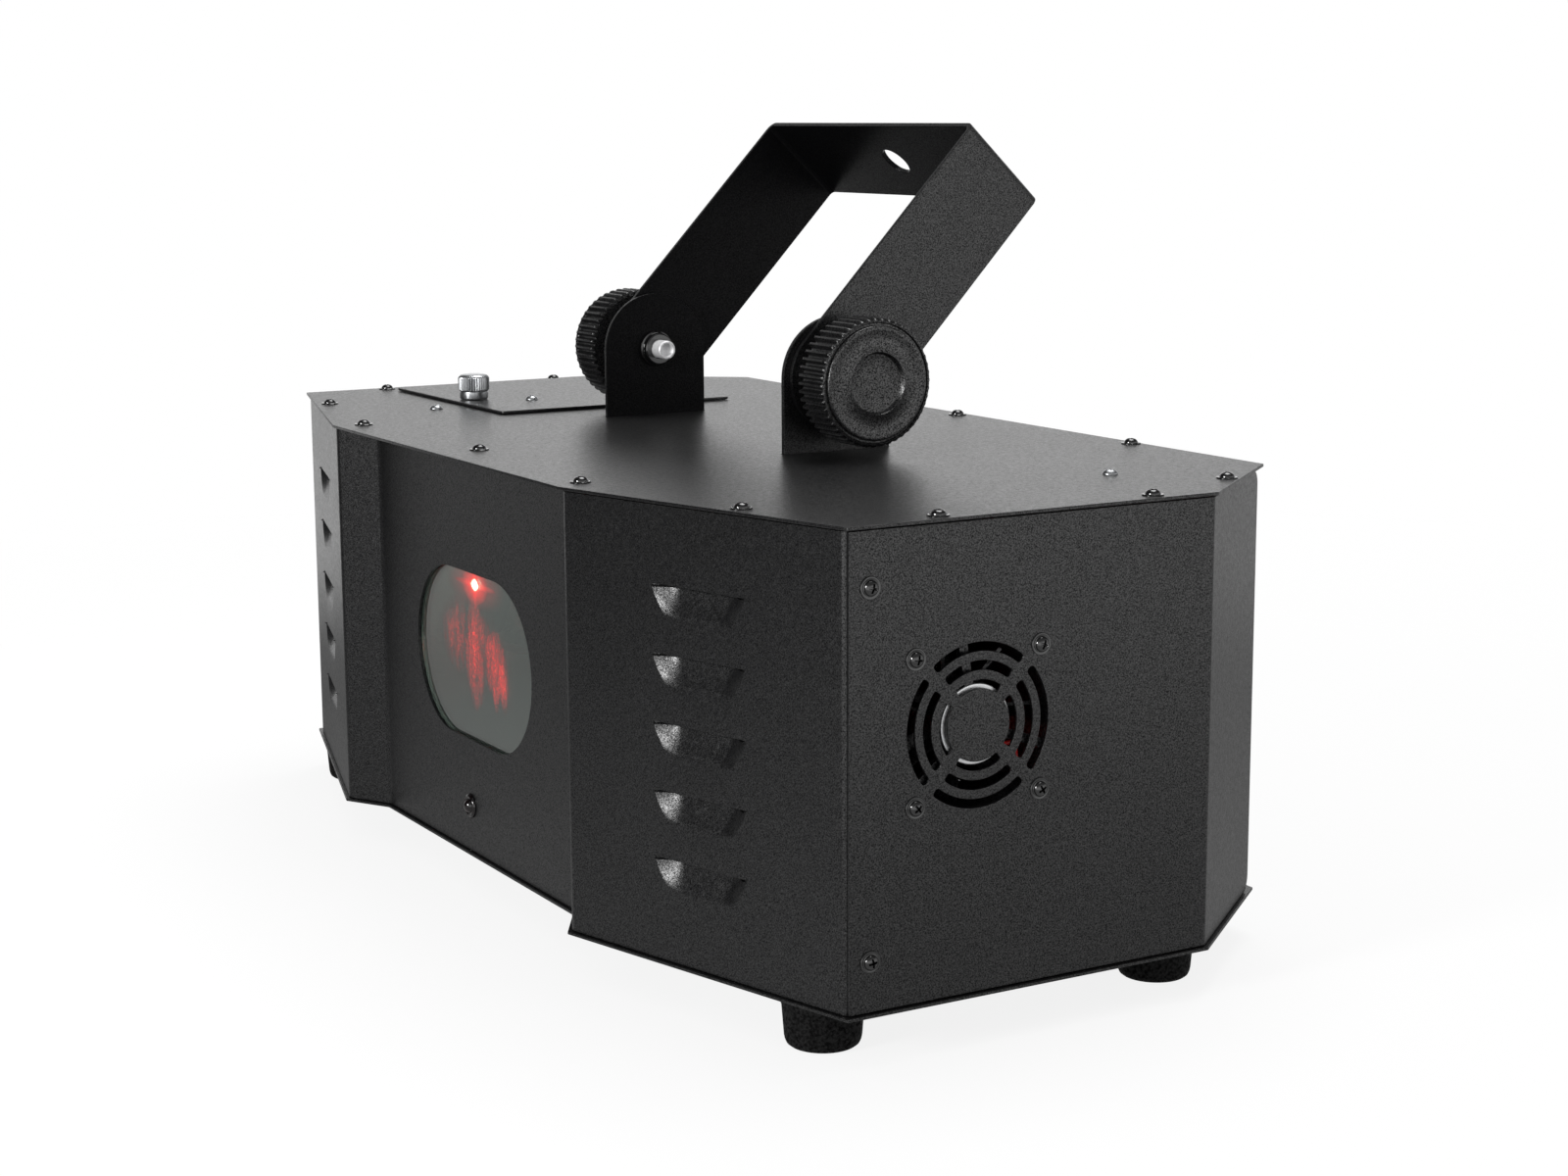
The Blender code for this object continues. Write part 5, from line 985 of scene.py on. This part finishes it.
def cross_tool(top):
    """A Phillips driver's tapered cross, to cut a recess of 1.4 mm with."""
    reach, half = 0.0019, 0.00045
    bm = bmesh.new()
    points = [Matrix.Rotation(turn * pi / 2, 3, "Z") @ Vector(p) for turn in range(4)
              for p in ((reach, -half, 0), (reach, half, 0), (half, half, 0))]
    face = bm.faces.new([bm.verts.new(p) for p in points])
    deep = points_of(bmesh.ops.extrude_face_region(bm, geom=[face]))
    bmesh.ops.scale(bm, vec=(0.5, 0.5, 1), verts=deep)
    bmesh.ops.translate(bm, vec=(0, 0, -0.0020), verts=deep)
    bmesh.ops.translate(bm, vec=(0, 0, top + 0.0006), verts=bm.verts)
    bmesh.ops.recalc_face_normals(bm, faces=bm.faces)
    return bm


def screw_mesh(profile, top):
    """A screw's head and shank with its Phillips recess, at the origin."""
    item = object_from("screw", spun(profile, 32, Matrix.Translation(-ORIGIN)))
    cut(item, cross_tool(top))
    mesh = item.data
    bpy.data.objects.remove(item, do_unlink=True)
    return mesh


def place_screw(name, mesh, matrix, material, body, *replaced):
    """One screw: a copy of its mesh, put in its place."""
    copy = mesh.copy()
    copy.transform(Matrix.Translation(ORIGIN) @ matrix)
    item = bpy.data.objects.new(name, copy)
    bpy.context.scene.collection.objects.link(item)
    return piece(item, material, body, *replaced)


class EFFECT_OT_screws(bpy.types.Operator):
    """Turn the screws of the cover, the sides and the fan"""
    bl_idname = "effect_light.screws"
    bl_label = "Screws"

    def execute(self, context):
        flanged = [(0, 0.00225), (0.0010, 0.00215), (0.0018, 0.0019), (0.0024, 0.0014), (0.00265, 0.0009),
                   (0.00270, 0.00055), (0.0030, 0.00042), (0.0034, 0.00052), (0.0037, 0.00050),
                   (0.0039, 0.0003), (0.0039, GAP / 3), (0.0016, GAP / 3), (0.0016, -0.0008), (0, -0.0008)]
        dome = [(0, 0.0019), (0.0012, 0.00178), (0.0022, 0.0013), (0.0028, 0.0006), (0.0029, GAP / 3),
                (0.0014, GAP / 3), (0.0014, -0.0008), (0, -0.0008)]
        black, bright = screw_mesh(flanged, 0.0019), screw_mesh(dome, 0.0016)
        long = screw_mesh([(r, h if h > -0.0005 else -0.008) for r, h in flanged], 0.0019)
        for number, (x, y) in enumerate(BLACK_SCREWS, 1):
            place = Matrix.Translation((x, y, BODY_HEIGHT)) @ Matrix.Rotation(number * 1.3, 4, "Z")
            place_screw("cover_screw_%d" % number, black, place, "black_screw", "housing")
        for number, (x, y, rise) in enumerate(BRIGHT_SCREWS, 1):
            place = Matrix.Translation((x, y, BODY_HEIGHT + rise)) @ Matrix.Rotation(number * 0.9, 4, "Z")
            place_screw("bright_screw_%d" % number, bright, place, "zinc_steel",
                        "hatch" if rise else "housing")
        for side, word in SIDES:
            for height, level in zip(SIDE_SCREW_HEIGHTS, ("lower", "upper")):
                name = "side_screw_%s_%s" % (word, level)
                place = Matrix.Translation((side * SIDE_X, SIDE_SCREW_Y, height)) @ Matrix.Rotation(
                    side * pi / 2, 4, "Y") @ Matrix.Rotation(height * 9, 4, "Z")
                place_screw(name + "_finished", long, place, "black_screw", "housing", name)
        for number, (y, z) in enumerate(fan_screws(), 1):
            name = "fan_screw_%d" % number
            place = Matrix.Translation((SIDE_X, y, z)) @ X_TURN @ Matrix.Rotation(number * 0.7, 4, "Z")
            place_screw(name + "_finished", long, place, "black_screw", "housing", name)
        for mesh in (black, bright, long):
            bpy.data.meshes.remove(mesh)
        return {"FINISHED"}


class EFFECT_OT_thumbscrew(bpy.types.Operator):
    """Knurl the thumbscrew of the hatch"""
    bl_idname = "effect_light.thumbscrew"
    bl_label = "Thumbscrew"

    def execute(self, context):
        low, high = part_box("thumbscrew")
        centre = (low + high) / 2
        top = high.z
        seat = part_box("hatch_cover")[1].z
        profile = ((0.0, top, 0), (0.0050, top, 0), (0.0060, top - 0.0003, 0), (0.0067, top - 0.0010, 0.5),
                   (0.0071, top - 0.0016, 1), (0.0071, seat + 0.0050, 1), (0.0069, seat + 0.0044, 0.5),
                   (0.0064, seat + 0.0041, 0), (0.0063, seat + 0.0038, 0), (0.0065, seat + 0.0035, 0),
                   (0.0065, seat + 0.0010, 0), (0.0061, seat + GAP, 0), (0.0025, seat + GAP, 0),
                   (0.0025, low.z + 0.0008, 0), (0.0018, low.z, 0), (0.0, low.z, 0))
        knurl = ((0.0, 1.0), (0.25, 0.5), (0.5, 0.0), (0.75, 0.5), (1.0, 1.0))
        bm = ribbed(knurl, profile, sizes().knurls, 0.00045)
        bmesh.ops.translate(bm, verts=bm.verts, vec=(centre.x, centre.y, 0))
        stand_in("thumbscrew", bm, "zinc_steel", "hatch_thumbscrew", smooth=radians(40))
        return {"FINISHED"}


class EFFECT_OT_feet(bpy.types.Operator):
    """Mould the four rubber feet"""
    bl_idname = "effect_light.feet"
    bl_label = "Feet"

    def execute(self, context):
        low = -ORIGIN.z
        profile = [(0, -GAP), (0.0136, -GAP), (0.0143, -0.0006), (0.0145, -0.0012), (0.0145, -0.0020),
                   (0.0142, -0.0030), (0.0134, low + 0.0034), (0.0131, low + 0.0020), (0.0126, low + 0.0009),
                   (0.0117, low + 0.0002), (0.0108, low), (0.0060, low), (0.0052, low + 0.0006),
                   (0.0050, low + 0.0050), (0, low + 0.0052)]
        for side, word in SIDES:
            for end, (x, y) in zip(("front", "rear"), FOOT_PLACES):
                stand_in("foot_%s_%s" % (end, word), spun(profile, 56, place=(side * x, y, 0)), "foot_rubber",
                         "housing")
        return {"FINISHED"}


def tube(points, radius, sides):
    """A round lead along some points."""
    bm = bmesh.new()
    rings = []
    for i, here in enumerate(points):
        ahead = (points[min(i + 1, len(points) - 1)] - points[max(i - 1, 0)]).normalized()
        turn = ahead.to_track_quat("Z", "Y").to_matrix().to_4x4()
        rings.append(bmesh.ops.create_circle(
            bm, segments=sides, radius=radius, cap_ends=i in (0, len(points) - 1),
            matrix=Matrix.Translation(here) @ turn)["verts"])
    for low, high in zip(rings, rings[1:]):
        edges = [e for ring in (low, high) for v in ring for e in v.link_edges
                 if all(w in ring for w in e.verts)]
        bmesh.ops.bridge_loops(bm, edges=list(set(edges)))
    bmesh.ops.recalc_face_normals(bm, faces=bm.faces)
    return bm


class EFFECT_OT_fan(bpy.types.Operator):
    """Finish the fan: its frame, rotor, bare hub plate and red lead"""
    bl_idname = "effect_light.fan"
    bl_label = "Fan"

    def execute(self, context):
        refine("fan_frame", "fan_plastic", "housing", 0.0003)
        refine("fan_rotor", "fan_plastic", "fan_rotor", 0.0002)
        disc = [(0, 0.00030), (0.0130, 0.00030), (0.0136, 0.00020), (0.0137, 0), (0, 0)]
        face = FAN_FACE_X - 0.0008
        piece(object_from("fan_hub_plate", spun(disc, 64, X_TURN, (face, *FAN_PLACE))), "hub", "housing")
        points = []
        for step in range(13):
            share = step / 12
            radius = 0.0150 + share * 0.0125
            angle = radians(-36 + 8 * sin(share * 5))
            points.append(Vector((face - 0.0014 - 0.0012 * sin(share * pi),
                                  FAN_PLACE[0] + radius * cos(angle), FAN_PLACE[1] + radius * sin(angle))))
        piece(object_from("fan_lead", shifted(tube(points, 0.0008, 12))), "lead", "housing")
        return {"FINISHED"}


class EFFECT_OT_window(bpy.types.Operator):
    """Set the tinted glass, its gasket and the laser's light behind it"""
    bl_idname = "effect_light.window"
    bl_label = "Window"

    def execute(self, context):
        refine("lens_gasket", "foot_rubber", "housing", 0.0002)
        glass = self.pane("lens_glass_finished", 0.0010, GLASS_THICKNESS, 0.0)
        round_edges(glass, 0.0002)
        piece(glass, "window_glass", "housing", "lens_glass")
        piece(self.pane("laser_glow", 0.0040, 0.0002, GLASS_THICKNESS + 0.0004), "beam", "housing")
        return {"FINISHED"}

    def pane(self, name, grow, thickness, back):
        """A flat piece with the window's outline, some way back from the glass's front."""
        low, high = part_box("lens_glass")
        bm = prism(window_outline(grow), thickness)
        bmesh.ops.transform(bm, matrix=UPRIGHT, verts=bm.verts)
        place = (0, low.y - GLASS_FORWARD + back + thickness / 2, (low.z + high.z) / 2)
        bmesh.ops.translate(bm, verts=bm.verts, vec=place)
        return object_from(name, bm)


class EFFECT_OT_receiver(bpy.types.Operator):
    """Turn the infrared receiver's dome and bezel"""
    bl_idname = "effect_light.receiver"
    bl_label = "Infrared receiver"

    def execute(self, context):
        x, z = RECEIVER_PLACE
        dome = [(0, 0.0030), (0.0008, 0.0029), (0.0016, 0.0026), (0.0023, 0.0020), (0.0028, 0.0013),
                (0.0030, 0.0008), (0.0033, 0.0008), (0.0036, 0.0012), (0.0041, 0.0013), (0.0046, 0.0011),
                (0.0049, 0.0007), (0.0050, GAP), (0.0033, GAP), (0.0033, -0.0060), (0, -0.0060)]
        body = spun(dome, 48, UPRIGHT, (x, PANEL_Y, z))
        stand_in("infrared_receiver", body, "receiver_lens", "housing")
        return {"FINISHED"}


def rear_place(node, depth):
    """The middle of a rear part, some way in from its outer end, in the housing's frame."""
    low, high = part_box(node)
    return Vector(((low.x + high.x) / 2, high.y - depth, (low.z + high.z) / 2)) - ORIGIN


class EFFECT_OT_rear_parts(bpy.types.Operator):
    """Finish the sockets, the fuse drawer, the display and the menu buttons, and put metal on the pins"""
    bl_idname = "effect_light.rear_parts"
    bl_label = "Rear sockets and menu"

    def execute(self, context):
        for node in ("mains_inlet", "signal_in_socket", "signal_out_socket"):
            refine(node, "knob_plastic", "housing", 0.0003)
        refine("fuse_drawer", "knob_plastic", "fuse_drawer", 0.0003)
        refine("display_window", "receiver_lens", "housing", 0.0003)
        cap = [(0, 0.0018), (0.0022, 0.0018), (0.0029, 0.0016), (0.0034, 0.0012), (0.0035, 0.0008),
               (0.0035, -0.0035), (0.0050, -0.0035), (0.0050, -0.0048), (0.0015, -0.0048), (0.0015, -0.0150),
               (0, -0.0150)]
        for number in range(1, 5):
            name = "menu_button_%d" % number
            stand_in(name, spun(cap, 40, Y_TURN, rear_place(name, 0.0018)), "knob_plastic", name)
        bm = bmesh.new()
        for x, z in ((-0.0070, 0.0042), (0.0070, 0.0042), (0.0, 0.0086)):
            centre = rear_place("mains_inlet", 0.0105) + Vector((x, 0, z))
            bmesh.ops.create_cube(bm, size=1, matrix=Matrix.Translation(centre)
                                  @ Matrix.Diagonal((0.0022, 0.0084, 0.0042, 1)))
        item = object_from("mains_pins", shifted(bm))
        round_edges(item, 0.0004)
        piece(item, "zinc_steel", "housing")
        pin = [(0, 0.0045), (0.0007, 0.0044), (0.0012, 0.0039), (0.0013, 0.0034), (0.0013, -0.0045),
               (0, -0.0045)]
        for number, angle in enumerate((pi / 6, 5 * pi / 6, 3 * pi / 2), 1):
            place = rear_place("signal_in_socket", 0.0113) + 0.0058 * Vector((cos(angle), 0, sin(angle)))
            piece(object_from("signal_pin_%d" % number, spun(pin, 24, Y_TURN, place)), "zinc_steel",
                  "housing")
        return {"FINISHED"}


INNER_FINISHES = {
    "optics_tray": "aluminium", "led_heat_sink": "aluminium", "mirror_stand": "aluminium",
    "led_module": "circuit_board", "power_supply": "circuit_board", "control_board": "circuit_board",
    "condenser_lens": "lens_glass", "projection_lens": "lens_glass", "gobo_wheel": "black_screw",
    "gobo_motor": "black_screw", "projection_barrel": "knob_plastic", "flower_mirror": "mirror",
    "laser_module": "zinc_steel"}


class EFFECT_OT_inner_parts(bpy.types.Operator):
    """Finish the CAD nodes of the light engine, which stay as they are"""
    bl_idname = "effect_light.inner_parts"
    bl_label = "Light engine"

    def execute(self, context):
        for node, material in INNER_FINISHES.items():
            mesh = NODES[node].data
            mesh.materials.clear()
            mesh.materials.append(finish_of(material))
        return {"FINISHED"}


# What gloss sees round the light, from one azimuth to the next: dim at the front left, bright behind
ROUND_TONES = (
    (0.0, 0.90), (0.045, 0.30), (0.083, 0.04), (0.17, 0.03), (0.235, 0.10), (0.265, 0.5), (0.31, 0.9),
    (0.58, 0.80), (0.68, 0.55), (0.76, 0.22), (0.82, 0.40), (0.90, 0.95), (0.93, 1.0), (1.0, 0.60))
# The floor's share of plain white to the camera, and how far from the light gloss finds a grey floor
FLOOR_WHITE = 0.86
GLOSS_REACH = 0.95
# Yaw, pitch and roll, place and lens in millimetres, solved from the photograph
CAMERA_TURN = (radians(-60.008), radians(10.140), radians(-0.333))
CAMERA_PLACE = (0.9621, -0.5236, 0.3124)
CAMERA_LENS = 61.18
AIM = Vector((0, 0, 0.12))


class EFFECT_OT_stage(bpy.types.Operator):
    """Set the pale floor, the soft lamps, the plain surroundings and the camera"""
    bl_idname = "effect_light.stage"
    bl_label = "Stage"

    def execute(self, context):
        stage = context.scene.light_stage
        self.floor(stage.floor_radius)
        self.surroundings(context.scene, stage.plain_level)
        for name, place, size, power in (("top_lamp", (-0.2, 0.5, 2.2), 1.2, stage.top_power),
                                         ("key_lamp", (0.42, -1.95, 0.75), 0.45, stage.key_power)):
            lamp = bpy.data.lights.new(name, "AREA")
            lamp.shape = "SQUARE"
            lamp.size = size
            lamp.energy = power
            item = bpy.data.objects.new(name, lamp)
            item.location = place
            item.rotation_euler = (Vector(place) - AIM).to_track_quat("Z", "Y").to_euler()
            context.scene.collection.objects.link(item)
        self.camera(context.scene)
        return {"FINISHED"}

    def floor(self, radius):
        """White with a soft shadow to the camera, and a grey patch round the light to gloss."""
        bm = bmesh.new()
        bmesh.ops.create_circle(bm, cap_ends=True, segments=96, radius=radius)
        item = object_from("floor", bm)
        material, tree, shader, place = blank("pale_floor")
        feed(tree, shader, {"Base Color": (0.8, 0.8, 0.8, 1), "Roughness": 0.9, "Specular IOR Level": 0.0})
        rays = add(tree, "LightPath").outputs
        clear = add(tree, "BsdfTransparent").outputs[0]
        white = add(tree, "Emission", {"Color": (1, 1, 1, 1), "Strength": 1.0}).outputs[0]
        lit = add(tree, "MixShader", {0: FLOOR_WHITE, 1: shader.outputs[0], 2: white}).outputs[0]
        seen = add(tree, "MixShader", {0: rays["Is Camera Ray"], 1: shader.outputs[0], 2: lit}).outputs[0]
        side = add(tree, "SeparateXYZ", {"Vector": place}).outputs["X"]
        grey = add(tree, "MapRange", {"Value": side, "From Min": -0.4, "From Max": 0.4, "To Min": 0.24,
                                      "To Max": 0.50}).outputs[0]
        pale = add(tree, "Emission", {"Color": (1, 1, 1, 1), "Strength": grey}).outputs[0]
        # What the camera and the surfaces see, and what gloss sees, each clear beyond its reach
        shown = []
        for reach, stops, surface in ((radius, ((0.02, 0.0), (0.55, 1.0)), seen),
                                      (GLOSS_REACH, ((0.05, 0.0), (0.40, 1.0)), pale)):
            near = add(tree, "Mapping", {"Vector": place, "Scale": (1 / reach,) * 3})
            fade = add(tree, "TexGradient", {"Vector": near.outputs[0]}, gradient_type="SPHERICAL")
            share = add(tree, "ValToRGB", {"Fac": fade.outputs["Fac"]}, stops)
            faded = add(tree, "MixShader", {0: share.outputs["Color"], 1: clear, 2: surface})
            shown.append(faded.outputs[0])
        end = add(tree, "MixShader", {0: rays["Is Glossy Ray"], 1: shown[0], 2: shown[1]})
        feed(tree, tree.nodes["Material Output"], {"Surface": end.outputs[0]})
        item.data.materials.append(material)

    def surroundings(self, scene, level):
        """White to the camera, plain to surfaces, and to gloss a bright studio with a dim front left."""
        world = bpy.data.worlds.new("studio")
        world.use_nodes = True
        tree = world.node_tree
        rays = add(tree, "LightPath").outputs
        place = add(tree, "TexCoord").outputs["Generated"]
        turn = add(tree, "TexGradient", {"Vector": place}, gradient_type="RADIAL").outputs["Fac"]
        tone = add(tree, "ValToRGB", {"Fac": turn}, ROUND_TONES).outputs["Color"]
        bright, dim = (add(tree, "VectorMath", {0: tone, 1: (gain,) * 3}, operation="MULTIPLY").outputs[0]
                       for gain in (1.5, 0.3))
        height = add(tree, "SeparateXYZ", {"Vector": place}).outputs["Z"]
        upper = add(tree, "MapRange", {"Value": height, "From Min": 0.22, "From Max": 0.5}).outputs[0]
        mix = {"data_type": "RGBA"}
        around = add(tree, "Mix", {"Factor": upper, 6: bright, 7: dim}, **mix).outputs[2]
        plain = (level, level, level, 1)
        gloss = add(tree, "Mix", {"Factor": rays["Is Glossy Ray"], 6: plain, 7: around}, **mix).outputs[2]
        clear = add(tree, "Math", {0: rays["Is Camera Ray"], 1: rays["Is Transmission Ray"]},
                    operation="MAXIMUM").outputs[0]
        seen = add(tree, "Mix", {"Factor": clear, 6: gloss, 7: (1, 1, 1, 1)}, **mix).outputs[2]
        feed(tree, tree.nodes["Background"], {"Strength": 1.0, "Color": seen})
        scene.world = world

    def camera(self, scene):
        """The photograph's camera, solved from its corner points."""
        yaw, pitch, roll = CAMERA_TURN
        ahead = Vector((sin(yaw) * cos(pitch), cos(yaw) * cos(pitch), -sin(pitch)))
        right = Vector((cos(yaw), -sin(yaw), 0))
        up = right.cross(ahead)
        right, up = cos(roll) * right + sin(roll) * up, cos(roll) * up - sin(roll) * right
        data = bpy.data.cameras.new("camera")
        data.sensor_fit = "HORIZONTAL"
        data.sensor_width = 36.0
        data.lens = CAMERA_LENS
        data.clip_start = 0.05
        item = bpy.data.objects.new("camera", data)
        rows = zip(right, up, -ahead, CAMERA_PLACE)
        item.matrix_world = Matrix((*rows, (0, 0, 0, 1)))
        scene.collection.objects.link(item)
        scene.camera = item
        scene.view_settings.view_transform = "Standard"


OPERATORS = (
    EFFECT_OT_stage, EFFECT_OT_front_shell, EFFECT_OT_side_panels, EFFECT_OT_plates, EFFECT_OT_yoke,
    EFFECT_OT_clamp_knobs, EFFECT_OT_clamp_studs, EFFECT_OT_screws, EFFECT_OT_thumbscrew, EFFECT_OT_feet,
    EFFECT_OT_fan, EFFECT_OT_window, EFFECT_OT_receiver, EFFECT_OT_rear_parts, EFFECT_OT_inner_parts)


class EFFECT_PT_pieces(bpy.types.Panel):
    """Lists the settings and the pieces"""
    bl_idname = "EFFECT_PT_pieces"
    bl_label = "Effect light"
    bl_space_type = "VIEW_3D"
    bl_region_type = "UI"
    bl_category = "Effect light"

    def draw(self, context):
        for group in (context.scene.light_finish, context.scene.light_sizes, context.scene.light_stage):
            column = self.layout.column(align=True)
            for name in group.__annotations__:
                column.prop(group, name)
        column = self.layout.column(align=True)
        for operator in OPERATORS:
            column.operator(operator.bl_idname)


GROUPS = (("light_finish", LightFinish), ("light_sizes", LightSizes), ("light_stage", LightStage))


def register():
    for name, group in GROUPS:
        bpy.utils.register_class(group)
        setattr(bpy.types.Scene, name, bpy.props.PointerProperty(type=group))
    for item in (*OPERATORS, EFFECT_PT_pieces):
        bpy.utils.register_class(item)


def unregister():
    for item in reversed((*OPERATORS, EFFECT_PT_pieces)):
        bpy.utils.unregister_class(item)
    for name, group in reversed(GROUPS):
        delattr(bpy.types.Scene, name)
        bpy.utils.unregister_class(group)


def main():
    register()
    for operator in OPERATORS:
        getattr(bpy.ops.effect_light, operator.bl_idname.split(".")[1])()


if __name__ == "__main__":
    main()
